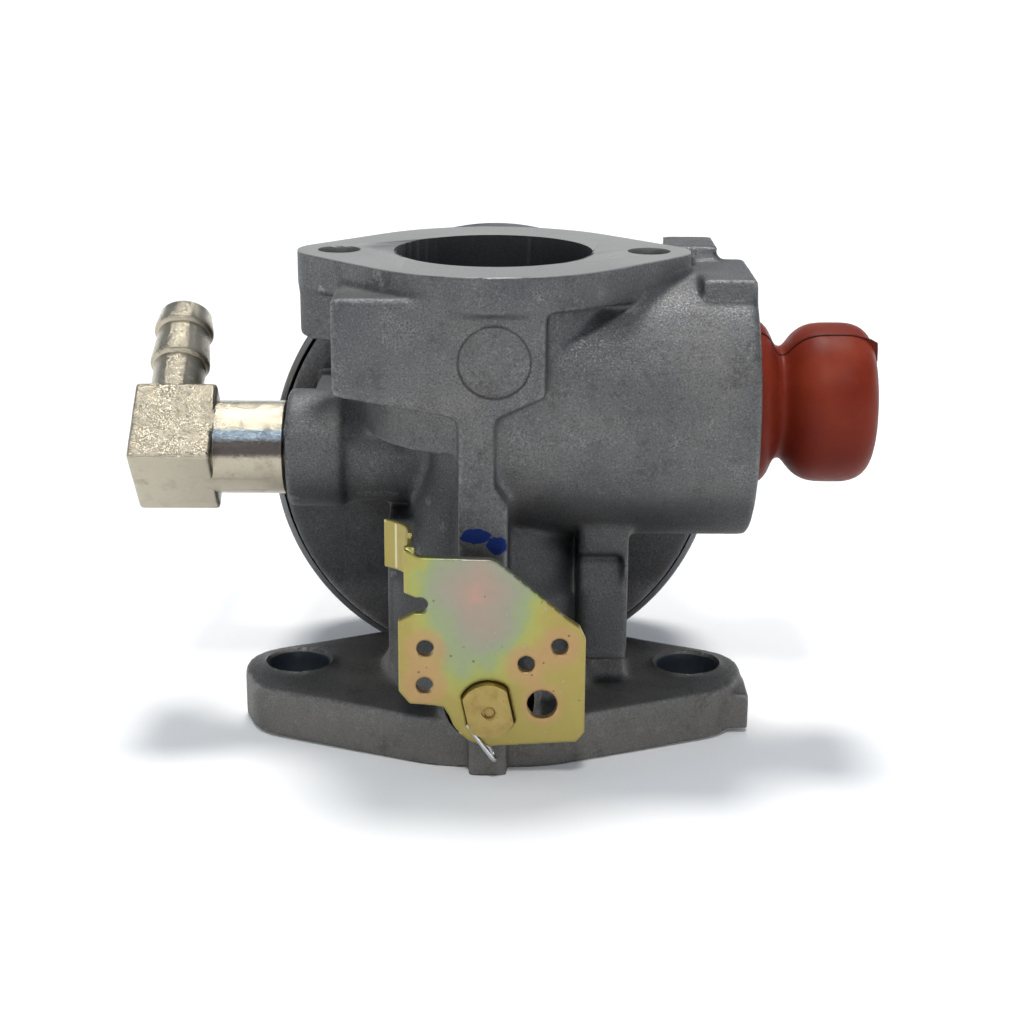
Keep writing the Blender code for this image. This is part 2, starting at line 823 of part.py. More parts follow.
def make_bowl_gasket(root, rubber):
    """A round ring squeezed between the cover's face and the bowl's shoulder."""
    radius = BOWL_RIM_RADIUS - SHOULDER - BOWL_WALL + GASKET_WIRE + 0.0001
    centre = (radius, COVER_BACK + GAP + GASKET_WIRE - BOWL_RIM_FRONT)
    profile = arc(centre, GASKET_WIRE, 0, 315, 7)
    foot = (BOWL_X, BOWL_RIM_FRONT, BOWL_HEIGHT)
    turned("bowl_gasket", profile, foot, Y, root, rubber)


def make_bowl_nut(root, brass, fibre):
    axis = Vector((BOWL_X, 0, BOWL_HEIGHT))
    washer_front = BOWL_RIM_FRONT + BOWL_DEPTH + GAP
    head_front = washer_front + FIBRE_WASHER_THICKNESS + GAP
    hole = NUT_SHANK_RADIUS + GAP
    ring = [
        (hole, 0.0),
        (FIBRE_WASHER_RADIUS, 0.0),
        (FIBRE_WASHER_RADIUS, FIBRE_WASHER_THICKNESS),
        (hole, FIBRE_WASHER_THICKNESS),
    ]
    turned(
        "bowl_nut_washer", ring, axis + Y * washer_front, Y, root, fibre, sides=32
    )
    head = rod(
        "bowl_nut",
        axis + Y * head_front,
        axis + Y * NUT_BACK,
        NUT_FLATS / math.sqrt(3),
        root,
        brass,
        sides=6,
    )
    shank = rod(
        "nut_shank",
        axis + Y * 0.0355,
        axis + Y * (head_front + OVERSHOOT),
        NUT_SHANK_RADIUS,
        root,
        sides=SMALL_ROUND,
    )
    fuel_hole = rod(
        "nut_fuel_hole",
        axis + Y * 0.0340,
        axis + Y * (head_front - 0.0012),
        0.0011,
        root,
        sides=TINY_ROUND,
    )
    combine(head, [shank], "UNION")
    combine(head, [fuel_hole], "DIFFERENCE")


def make_main_nozzle(root, brass):
    """A brass tube from the bowl's tower into the throat."""
    profile = [(0.0008, 0.0), (0.0014, 0.0), (0.0019, 0.0008)]
    profile += [(0.0019, 0.0320), (0.0008, 0.0320)]
    foot = (BOWL_X, 0.0012, BOWL_HEIGHT)
    turned("main_nozzle", profile, foot, Y, root, brass, sides=TINY_ROUND)


# ---------------------------------------------------------------- float and needle


def make_float(hinge, plastic):
    """A ring round the tower with a hinge arm over the needle, measured from the pin."""
    centre = Vector((BOWL_X - PIN_X, 0.0, BOWL_HEIGHT - INLET_Z))
    arm_front = 0.0006
    ring_front = arm_front + FLOAT_ARM_THICKNESS - 0.0003
    back = ring_front + FLOAT_THICKNESS
    profile = [
        (FLOAT_HOLE_RADIUS, ring_front),
        (FLOAT_RADIUS, ring_front),
        (FLOAT_RADIUS, back),
        (FLOAT_HOLE_RADIUS, back),
    ]
    ring = turned("float", profile, centre, Y, hinge, plastic)
    half = FLOAT_ARM_WIDTH / 2
    arm = block(
        "float_arm",
        (-0.0010, arm_front, -half + 0.00001),
        (0.0110, arm_front + FLOAT_ARM_THICKNESS, half - 0.00001),
        hinge,
    )
    barrel = rod(
        "float_barrel",
        -Z * half,
        Z * half,
        HINGE_BARREL_RADIUS,
        hinge,
        sides=TINY_ROUND,
    )
    hole = rod("float_hole", -Z * 0.005, Z * 0.005, PIN_RADIUS + GAP, hinge, sides=12)
    combine(ring, [arm, barrel], "UNION")
    combine(ring, [hole], "DIFFERENCE")


def make_float_pin(root, steel):
    pin = Vector((PIN_X, COVER_BACK + PIN_STAND_OFF, INLET_Z))
    reach = FLOAT_ARM_WIDTH / 2 + GAP + POST_THICKNESS + PIN_END
    rod(
        "float_hinge_pin",
        pin - Z * reach,
        pin + Z * reach,
        PIN_RADIUS,
        root,
        steel,
        sides=12,
    )


def make_needle(slide, brass, steel):
    """A cone-tipped needle, and the thin clip that ties it to the float's arm."""
    tip = SEAT_BORE_FLOOR + GAP + SEAT_THICKNESS - 0.0008
    head = COVER_BACK + PIN_STAND_OFF + 0.0006 - GAP
    profile = [
        (0.0, head),
        (NEEDLE_RADIUS, head),
        (NEEDLE_RADIUS, tip + NEEDLE_TIP_LENGTH),
        (0.0003, tip),
        (0.0, tip),
    ]
    turned("inlet_needle", profile, (0, 0, 0), Y, slide, brass, sides=TINY_ROUND)
    side = FLOAT_ARM_WIDTH / 2 + GAP + CLIP_WIRE + 0.0001
    near = head - CLIP_TAIL
    reach = NEEDLE_RADIUS + GAP + CLIP_WIRE
    steps = 5
    hoop = [
        (reach * math.sin(a), near, -reach * math.cos(a))
        for a in (math.pi * step / steps for step in range(steps + 1))
    ]
    tail = near + CLIP_TAIL
    points = [(0.0, tail, -side), (0.0, near, -side)] + hoop
    points += [(0.0, near, side), (0.0, tail, side)]
    wire("needle_spring_clip", points, CLIP_WIRE, slide, steel)


def make_needle_seat(root, rubber, brass):
    foot = Vector((NEEDLE_X, SEAT_BORE_FLOOR + GAP, INLET_Z))
    seat = [
        (SEAT_HOLE_RADIUS, 0.0),
        (SEAT_RADIUS, 0.0),
        (SEAT_RADIUS, SEAT_THICKNESS),
        (SEAT_HOLE_RADIUS, SEAT_THICKNESS),
    ]
    turned("inlet_seat", seat, foot, Y, root, rubber, sides=SMALL_ROUND)
    guide = NEEDLE_RADIUS + GAP
    ring = [
        (guide, 0.0),
        (SEAT_RADIUS, 0.0),
        (SEAT_RADIUS, RETAINER_THICKNESS),
        (guide, RETAINER_THICKNESS),
    ]
    foot = foot + Y * (SEAT_THICKNESS + GAP)
    turned("seat_retainer", ring, foot, Y, root, brass, sides=SMALL_ROUND)


# ---------------------------------------------------------------- throttle


def make_shaft(throttle, tilted, brass):
    """A round shaft, flattened where the plate sits and shouldered for the lever."""
    seat_back = LEVER_FRONT + LEVER_THICKNESS
    shaft = rod(
        "throttle_shaft",
        Y * (seat_back + GAP),
        Y * SHAFT_BACK,
        SHAFT_RADIUS,
        throttle,
        brass,
        sides=SMALL_ROUND,
    )
    tenon = rod(
        "shaft_tenon",
        Y * SHAFT_FRONT,
        Y * (seat_back + OVERSHOOT),
        SHAFT_RADIUS - 0.00002,
        throttle,
        sides=SMALL_ROUND,
    )
    flats = []
    for side in (-1, 1):
        inner, outer = side * SHAFT_FLATS / 2, side * 0.006
        flats.append(
            block(
                f"flat_cutter_{side}",
                (min(inner, outer), SHAFT_FRONT - OVERSHOOT, -0.006),
                (max(inner, outer), seat_back + OVERSHOOT, 0.006),
                tilted,
            )
        )
    combine(tenon, flats, "DIFFERENCE")
    half = THROTTLE_BORE_RADIUS + GAP
    plate_seat = block(
        "plate_seat_cutter", (-0.006, -half, 0.0), (0.006, half, 0.006), tilted
    )
    thread = rod(
        "thread_hole", -Z * 0.0024, Z * 0.002, SCREW_RADIUS + GAP, tilted, sides=TINY_ROUND
    )
    dimple = rod(
        "dimple_cutter",
        Y * (SHAFT_FRONT - OVERSHOOT),
        Y * (SHAFT_FRONT + 0.0004),
        0.0008,
        throttle,
        sides=TINY_ROUND,
    )
    combine(shaft, [tenon], "UNION")
    combine(shaft, [plate_seat, thread, dimple], "DIFFERENCE")


def make_throttle_plate(tilted, brass, steel):
    low = GAP
    high = low + PLATE_THICKNESS
    radius = THROTTLE_BORE_RADIUS - PLATE_CLEARANCE
    plate = rod("throttle_plate", Z * low, Z * high, radius, tilted, brass)
    hole = rod(
        "plate_hole",
        Z * (low - OVERSHOOT),
        Z * (high + OVERSHOOT),
        SCREW_RADIUS + GAP,
        tilted,
        sides=TINY_ROUND,
    )
    combine(plate, [hole], "DIFFERENCE")
    head = rod(
        "throttle_plate_screw",
        Z * (high + GAP),
        Z * (high + GAP + SCREW_HEAD_HEIGHT),
        SCREW_HEAD_RADIUS,
        tilted,
        steel,
        sides=SMALL_ROUND,
    )
    shank = rod(
        "screw_shank",
        -Z * 0.0020,
        Z * (high + GAP + 0.0005),
        SCREW_RADIUS,
        tilted,
        sides=TINY_ROUND,
    )
    slot = block(
        "screw_slot",
        (-0.0003, -0.004, high + GAP + SCREW_HEAD_HEIGHT * 0.5),
        (0.0003, 0.004, high + GAP + SCREW_HEAD_HEIGHT + OVERSHOOT),
        tilted,
    )
    combine(head, [shank], "UNION")
    combine(head, [slot], "DIFFERENCE")


def lever_outline():
    """The lever's front view, measured from the shaft: a bevelled panel with a notch."""
    notch = arc((-0.00760, 0.01220), 0.00065, -90, 90, 4)
    heel = arc((0.0003, 0.0002), 0.0048, 268, 180, 6)
    return (
        [(-0.0093, 0.0186), (-0.0076, 0.0177), (0.0002, 0.0175), (0.0010, 0.0172)]
        + [(0.0088, 0.0106), (0.0101, 0.0097), (0.0108, 0.0082)]
        + [(0.0108, -0.0029), (0.0099, -0.0040)]
        + heel[:-1]
        + [(-0.0050, 0.0001), (-0.0062, 0.0003), (-0.0088, 0.0005)]
        + [(-0.0100, 0.0020), (-0.0100, 0.0103)]
        + notch
        + [(-0.0093, 0.0136)]
    )


def make_lever(throttle, tilted, zinc):
    lever = prism(
        "throttle_lever",
        lever_outline(),
        "Y",
        LEVER_FRONT,
        LEVER_THICKNESS,
        throttle,
        zinc,
    )
    sheet = LEVER_THICKNESS
    bend_back = LEVER_FRONT + 0.0062
    tab_back = LEVER_FRONT + 0.0100
    strip = [
        (-0.0081, LEVER_FRONT + 0.0003),
        (-0.0093, LEVER_FRONT + 0.0006),
        (-0.0095, bend_back),
        (-0.0085, bend_back),
    ]
    hook = [
        (-0.0095, bend_back - 0.0010),
        (-0.0103, tab_back - sheet - 0.0006),
        (-0.0123, tab_back - sheet),
        (-0.0123, tab_back),
        (-0.0100, tab_back),
        (-0.0087, tab_back - 0.0014),
        (-0.0081, bend_back - 0.0010),
    ]
    arm = prism("lever_arm", strip, "Z", 0.0136, 0.0052, throttle)
    tab = prism("lever_tab", hook, "Z", 0.0146, 0.0049, throttle)
    combine(lever, [arm, tab], "UNION")
    holes = [
        ((-0.0070, 0.0071), 0.00095),
        ((-0.0071, 0.0027), 0.00095),
        ((0.0042, 0.0053), 0.00095),
        ((0.0079, 0.0074), 0.00095),
        ((0.0060, 0.0005), 0.00170),
    ]
    cutters = []
    for number, ((x, z), radius) in enumerate(holes):
        place = Vector((x, LEVER_FRONT, z))
        cutters.append(
            rod(
                f"lever_hole_{number}",
                place - Y * OVERSHOOT,
                place + Y * (sheet + OVERSHOOT),
                radius,
                throttle,
                sides=TINY_ROUND,
            )
        )
    seat = rod(
        "lever_seat",
        Y * (LEVER_FRONT - OVERSHOOT),
        Y * (LEVER_FRONT + sheet + OVERSHOOT),
        SHAFT_RADIUS + GAP / 2,
        throttle,
        sides=SMALL_ROUND,
    )
    flats = []
    for side in (-1, 1):
        inner, outer = side * (SHAFT_FLATS / 2 + GAP / 2), side * 0.006
        flats.append(
            block(
                f"lever_flat_{side}",
                (min(inner, outer), LEVER_FRONT - 0.003, -0.006),
                (max(inner, outer), LEVER_FRONT + 0.004, 0.006),
                tilted,
            )
        )
    combine(seat, flats, "DIFFERENCE")
    combine(lever, cutters + [seat], "DIFFERENCE")


def make_shaft_seals(shaft_line, foam, steel):
    """A dust seal and a thin washer between the casting's boss and the spring."""
    hole = SHAFT_RADIUS + GAP
    seal_front = SHAFT_BOSS_FRONT - GAP - SEAL_THICKNESS
    washer_front = seal_front - GAP - WASHER_THICKNESS
    for name, front, thickness, radius, material in (
        ("shaft_dust_seal", seal_front, SEAL_THICKNESS, SEAL_RADIUS, foam),
        ("shaft_washer", washer_front, WASHER_THICKNESS, SEAL_RADIUS, steel),
    ):
        ring = [(hole, 0.0), (radius, 0.0), (radius, thickness), (hole, thickness)]
        turned(name, ring, Y * front, Y, shaft_line, material, sides=SMALL_ROUND)


def make_return_spring(shaft_line, steel):
    """A torsion spring round the shaft, whose leg lies over the spring block's face."""
    front = LEVER_FRONT + LEVER_THICKNESS + SPRING_CLEARANCE + SPRING_WIRE
    back = SHAFT_BOSS_FRONT - SEAL_THICKNESS - WASHER_THICKNESS - 3 * GAP - SPRING_WIRE
    steps = 16 * SPRING_TURNS
    points = []
    for step in range(steps + 1):
        share = step / steps
        angle = SPRING_LEG_ANGLE - 2 * math.pi * SPRING_TURNS * (1 - share)
        height = back + (front - back) * share
        points.append(
            (SPRING_RADIUS * math.cos(angle), height, SPRING_RADIUS * math.sin(angle))
        )
    run = Vector((-math.sin(SPRING_LEG_ANGLE), 0.0, math.cos(SPRING_LEG_ANGLE)))
    knee = Vector(points[-1]) + run * SPRING_LEG_LENGTH
    points += [tuple(knee), tuple(knee - Z * 0.0008)]
    wire("throttle_return_spring", points, SPRING_WIRE, shaft_line, steel)


# ---------------------------------------------------------------- inlet elbow


def make_elbow(root, nickel):
    """A square block turned on its corner, with a stem to the casting and a hose barb."""
    middle = Vector((0, INLET_Y, INLET_Z))
    rise = Vector((0, math.cos(BARB_RISE), math.sin(BARB_RISE)))
    across = Vector((0, -math.sin(BARB_RISE), math.cos(BARB_RISE)))
    half = ELBOW_BLOCK_SIDE / 2
    corners = [
        middle + rise * a * half + across * b * half
        for a, b in ((1, 1), (1, -1), (-1, -1), (-1, 1))
    ]
    length = ELBOW_BLOCK_RIGHT - ELBOW_BLOCK_LEFT
    elbow = prism(
        "fuel_inlet_elbow",
        [(corner.y, corner.z) for corner in corners],
        "X",
        ELBOW_BLOCK_LEFT,
        length,
        root,
        nickel,
    )
    stem = rod(
        "elbow_stem",
        middle + X * (ELBOW_BLOCK_RIGHT - OVERSHOOT),
        middle + X * (INLET_BOSS_LEFT - GAP),
        ELBOW_STEM_RADIUS,
        root,
        sides=32,
    )
    spigot = rod(
        "elbow_spigot",
        middle + X * (INLET_BOSS_LEFT - OVERSHOOT),
        middle + X * (INLET_BOSS_LEFT + ELBOW_SPIGOT_LENGTH),
        ELBOW_SPIGOT_RADIUS,
        root,
        sides=SMALL_ROUND,
    )
    base = middle + X * BARB_X + rise * (half - OVERSHOOT)
    tube, ring = BARB_RADIUS, BARB_RING_RADIUS
    end = BARB_LENGTH + OVERSHOOT
    profile = [
        (0.0, end),
        (tube - 0.0005, end),
        (ring, end - 0.0024),
        (ring, end - 0.0030),
        (tube, end - 0.0033),
        (tube, end - 0.0050),
        (ring, end - 0.0074),
        (ring, end - 0.0080),
        (tube, end - 0.0083),
        (tube, 0.0),
        (0.0, 0.0),
    ]
    barb = turned("elbow_barb", profile, base, rise, root, sides=SMALL_ROUND)
    stem_bore = rod(
        "elbow_stem_bore",
        middle + X * BARB_X,
        middle + X * (INLET_BOSS_LEFT + ELBOW_SPIGOT_LENGTH + OVERSHOOT),
        ELBOW_PASSAGE_RADIUS,
        root,
        sides=TINY_ROUND,
    )
    barb_bore = rod(
        "elbow_barb_bore",
        middle + X * BARB_X,
        base + rise * (end + OVERSHOOT),
        ELBOW_PASSAGE_RADIUS,
        root,
        sides=TINY_ROUND,
    )
    combine(elbow, [stem, spigot, barb], "UNION")
    combine(elbow, [stem_bore, barb_bore], "DIFFERENCE")


# ---------------------------------------------------------------- primer


def make_primer(root, press, rubber, steel):
    """A hollow bulb with a moving end face, and the ring that holds its base."""
    left, right = BULB_BASE_LEFT, BULB_BASE_RIGHT
    groove_left = left + 0.0012
    groove_right = groove_left + RETAINER_RING_WIDTH + 2 * GAP
    groove = BULB_BASE_RADIUS - RETAINER_RING_BITE - GAP
    cap_corner = 0.0024
    corner = arc(
        (BULB_RADIUS - cap_corner, BULB_END - 0.0002 - cap_corner), cap_corner, 0, 80, 5
    )
    mouth = BULB_FACE_RADIUS + GAP
    thick_end = BULB_END - 0.0018
    wall = [
        (BULB_BREATH_RADIUS, left),
        (BULB_BASE_RADIUS, left),
        (BULB_BASE_RADIUS, groove_left),
        (groove, groove_left),
        (groove, groove_right),
        (BULB_BASE_RADIUS, groove_right),
        (BULB_BASE_RADIUS, right - 0.0005),
        (BULB_BASE_RADIUS - 0.0008, right),
        (BULB_NECK_RADIUS, right + 0.0003),
        (BULB_NECK_RADIUS, BULB_CAP_LEFT),
        (BULB_RADIUS - 0.0014, BULB_CAP_LEFT + 0.0003),
        (BULB_RADIUS, BULB_CAP_LEFT + 0.0018),
    ]
    wall += corner + [
        (mouth, BULB_END - 0.0002),
        (mouth, thick_end),
        (BULB_HOLLOW_RADIUS, thick_end - 0.0005),
        (BULB_HOLLOW_RADIUS, BULB_CAP_LEFT + 0.0022),
        (BULB_BREATH_RADIUS, BULB_CAP_LEFT + 0.0018),
    ]
    foot = Vector((0, 0, PRIMER_Z))
    turned("primer_bulb_wall", wall, foot, X, root, rubber)
    face = [
        (0.0, BULB_END),
        (BULB_FACE_RADIUS - 0.0006, BULB_END - 0.0001),
        (BULB_FACE_RADIUS, BULB_END - 0.0003),
        (BULB_FACE_RADIUS, BULB_END - BULB_FACE_THICKNESS),
        (0.0, BULB_END - BULB_FACE_THICKNESS),
    ]
    turned("primer_bulb_face", face, (0, 0, 0), X, press, rubber, sides=32)
    ring_left = groove_left + GAP
    ring = [
        (groove + GAP, ring_left),
        (BULB_BASE_RADIUS, ring_left),
        (BULB_BASE_RADIUS, ring_left + RETAINER_RING_WIDTH),
        (groove + GAP, ring_left + RETAINER_RING_WIDTH),
    ]
    turned("primer_retainer_ring", ring, foot, X, root, steel)


# ---------------------------------------------------------------- build


def build():
    aluminium = new_material("cast_aluminium", (0.30, 0.31, 0.33), 0.45, 1.0)
    plug_metal = new_material("soft_plug", (0.55, 0.55, 0.56), 0.40, 1.0)
    bowl_steel = new_material("bowl_steel", (0.22, 0.22, 0.22), 0.40, 1.0)
    steel = new_material("steel", (0.50, 0.50, 0.50), 0.35, 1.0)
    nickel = new_material("nickel_plate", (0.72, 0.68, 0.60), 0.25, 1.0)
    zinc = new_material("yellow_zinc", (0.75, 0.68, 0.38), 0.30, 1.0)
    brass = new_material("brass", (0.70, 0.55, 0.25), 0.35, 1.0)
    rubber = new_material("red_rubber", (0.30, 0.05, 0.03), 0.55, 0.0)
    seal = new_material("black_rubber", (0.02, 0.02, 0.02), 0.60, 0.0)
    fibre = new_material("red_fibre", (0.35, 0.10, 0.06), 0.80, 0.0)
    plastic = new_material("float_plastic", (0.04, 0.04, 0.04), 0.50, 0.0)

    root = new_empty("bore_axis", BORE_AXIS)
    shaft_line = new_empty("shaft_line", (SHAFT_X, 0, SHAFT_Z), root)
    throttle = new_empty("throttle_axis", (SHAFT_X, 0, SHAFT_Z), root)
    tilted = new_empty("plate_tilt", (0, 0, 0), throttle, CLOSED_TILT)
    pin_y = COVER_BACK + PIN_STAND_OFF
    hinge = new_empty("float_axis", (PIN_X, pin_y, INLET_Z), root)
    slide = new_empty("needle_axis", (NEEDLE_X, 0, INLET_Z), root)
    press = new_empty("primer_axis", (0, 0, PRIMER_Z), root)

    make_casting(root, aluminium)
    make_idle_plug(root, plug_metal)
    make_bowl(root, bowl_steel)
    make_bowl_gasket(root, seal)
    make_bowl_nut(root, brass, fibre)
    make_main_nozzle(root, brass)
    make_float(hinge, plastic)
    make_float_pin(root, steel)
    make_needle(slide, brass, steel)
    make_needle_seat(root, seal, brass)
    make_shaft(throttle, tilted, brass)
    make_throttle_plate(tilted, brass, steel)
    make_lever(throttle, tilted, zinc)
    make_shaft_seals(shaft_line, seal, steel)
    make_return_spring(shaft_line, steel)
    make_elbow(root, nickel)
    make_primer(root, press, rubber, steel)


clear_scene()
PARTS = new_collection("carburetor")
CUTTERS = new_collection("cutters")
build()
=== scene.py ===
# %% [markdown]
# # A small-engine carburetor, from packed frame to finished looks
#
# The frame holds the real sizes and the joints. This lesson gives each of its pieces the surface that the real
# one has: a die casting with soft corners and machined faces, a forged and plated elbow, a stamped lever,
# a drawn bowl and a moulded rubber bulb. Every piece but the bulb rides on the frame's bodies, so it still moves.

import json
import math

import bmesh
import bpy
from mathutils import Matrix, Vector, noise

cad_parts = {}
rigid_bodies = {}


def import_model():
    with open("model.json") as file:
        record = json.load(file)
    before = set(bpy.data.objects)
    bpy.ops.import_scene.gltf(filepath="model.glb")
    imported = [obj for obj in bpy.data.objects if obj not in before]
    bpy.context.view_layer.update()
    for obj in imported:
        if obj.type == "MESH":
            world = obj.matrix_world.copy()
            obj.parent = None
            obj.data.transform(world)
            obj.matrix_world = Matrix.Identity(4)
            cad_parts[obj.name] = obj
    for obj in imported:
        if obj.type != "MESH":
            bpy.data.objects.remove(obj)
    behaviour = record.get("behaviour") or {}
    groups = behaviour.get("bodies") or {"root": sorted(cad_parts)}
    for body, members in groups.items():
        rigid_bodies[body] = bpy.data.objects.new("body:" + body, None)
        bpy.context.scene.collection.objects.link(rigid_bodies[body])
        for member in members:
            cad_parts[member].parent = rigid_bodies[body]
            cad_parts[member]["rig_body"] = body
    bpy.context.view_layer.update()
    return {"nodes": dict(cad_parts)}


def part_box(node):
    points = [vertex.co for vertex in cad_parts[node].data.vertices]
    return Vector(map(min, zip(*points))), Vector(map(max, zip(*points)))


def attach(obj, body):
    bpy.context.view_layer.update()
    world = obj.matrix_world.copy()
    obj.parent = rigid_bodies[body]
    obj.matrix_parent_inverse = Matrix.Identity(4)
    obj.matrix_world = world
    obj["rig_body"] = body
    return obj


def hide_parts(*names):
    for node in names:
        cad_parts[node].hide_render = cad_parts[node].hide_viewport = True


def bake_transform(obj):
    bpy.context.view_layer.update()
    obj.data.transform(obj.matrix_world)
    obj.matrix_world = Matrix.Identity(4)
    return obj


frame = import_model()
MM = 0.001
print("frame of", len(frame["nodes"]), "pieces")

# %% [markdown]
# ## Where things are
#
# The casting was designed round its bore, so places are easiest to name in millimetres from the bore's axis at
# the engine face. One short function turns such a place into metres in the frame. Axes that several pieces
# share get a name here, so that a hole, its plug and what sits in it can't drift apart.

# %% Places in the frame
bowl_low, bowl_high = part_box("fuel_bowl")
HEIGHT = 57.0
BORE_X = -0.8
BORE_Y = -13.55
ENGINE_FACE = 1.5


def place(x, y, z):
    """A point in frame metres, from millimetres off the bore's axis at the engine face."""
    return Vector((x + BORE_X, y + BORE_Y, z + ENGINE_FACE)) * MM


X, Y, Z = Vector((1, 0, 0)), Vector((0, 1, 0)), Vector((0, 0, 1))
print("bowl", [round(value / MM, 2) for value in (*bowl_low, *bowl_high)])

# %% Shared axes
ORIGIN = place(0, 0, 0)
SHAFT_AXIS = place(-0.3, 0, 9.2)
PLUG_AXIS = place(0, -4.5, 15.0)
BOWL_AXIS = place(-0.1, 0, 27.0)
ELBOW_AXIS = place(0, 3.0, 32.5)
BULB_AXIS = place(0, 0, 39.2)
EJECTOR_AXIS = place(0.2, 0, 47.4)
STUD_X, SCREW_X = 23.8, 17.9
print("engine studs are", 2 * STUD_X, "mm apart, the air cleaner's screws", 2 * SCREW_X)

# %% [markdown]
# ## Camera
#
# A short telephoto lens, a little above the casting and looking slightly down on it, with a trace of roll
# because it was held by hand.

# %% Camera
LENS = 68.26
SENSOR = 36.0
PITCH = math.radians(16.98)
ROLL = math.radians(0.344)
EYE = place(2.23, -223.50, 93.61)
camera_data = bpy.data.cameras.new("camera")
camera_data.lens = LENS
camera_data.sensor_width = SENSOR
camera_data.clip_start = 0.01
camera_data.clip_end = 50.0
camera = bpy.data.objects.new("camera", camera_data)
camera.matrix_world = (
    Matrix.Translation(EYE)
    @ Matrix.Rotation(math.pi / 2 - PITCH, 4, "X")
    @ Matrix.Rotation(ROLL, 4, "Z")
)
bpy.context.scene.collection.objects.link(camera)
bpy.context.scene.camera = camera
print("camera at", [round(value, 3) for value in camera.matrix_world.translation])

# %% [markdown]
# ## Shader maths as sentences
#
# Surfaces are easier to read as sums than as wires. One small class wraps a socket, so that `1 - mask * 0.5`
# adds its Math nodes by itself. A second class holds one material and has a single method for every other node.


# %% A socket that can be added and multiplied
class Signal:
    """A value on its way through a node tree. Each operator adds one Math node."""

    def __init__(self, finish, socket):
        self.finish = finish
        self.socket = socket

    def maths(self, operation, first, second):
        """Adds one Math node and gives its result."""
        made = self.finish.node("Math", {"operation": operation}, {0: first, 1: second})
        return Signal(self.finish, made.outputs[0])

    def __add__(self, other):
        return self.maths("ADD", self, other)

    def __sub__(self, other):
        return self.maths("SUBTRACT", self, other)

    def __mul__(self, other):
        return self.maths("MULTIPLY", self, other)

    def __rsub__(self, other):
        return self.maths("SUBTRACT", other, self)

    def __gt__(self, other):
        return self.maths("GREATER_THAN", self, other)

    def __lt__(self, other):
        return self.maths("LESS_THAN", self, other)

    def __abs__(self):
        return self.maths("ABSOLUTE", self, 0.0)

    __radd__ = __add__
    __rmul__ = __mul__


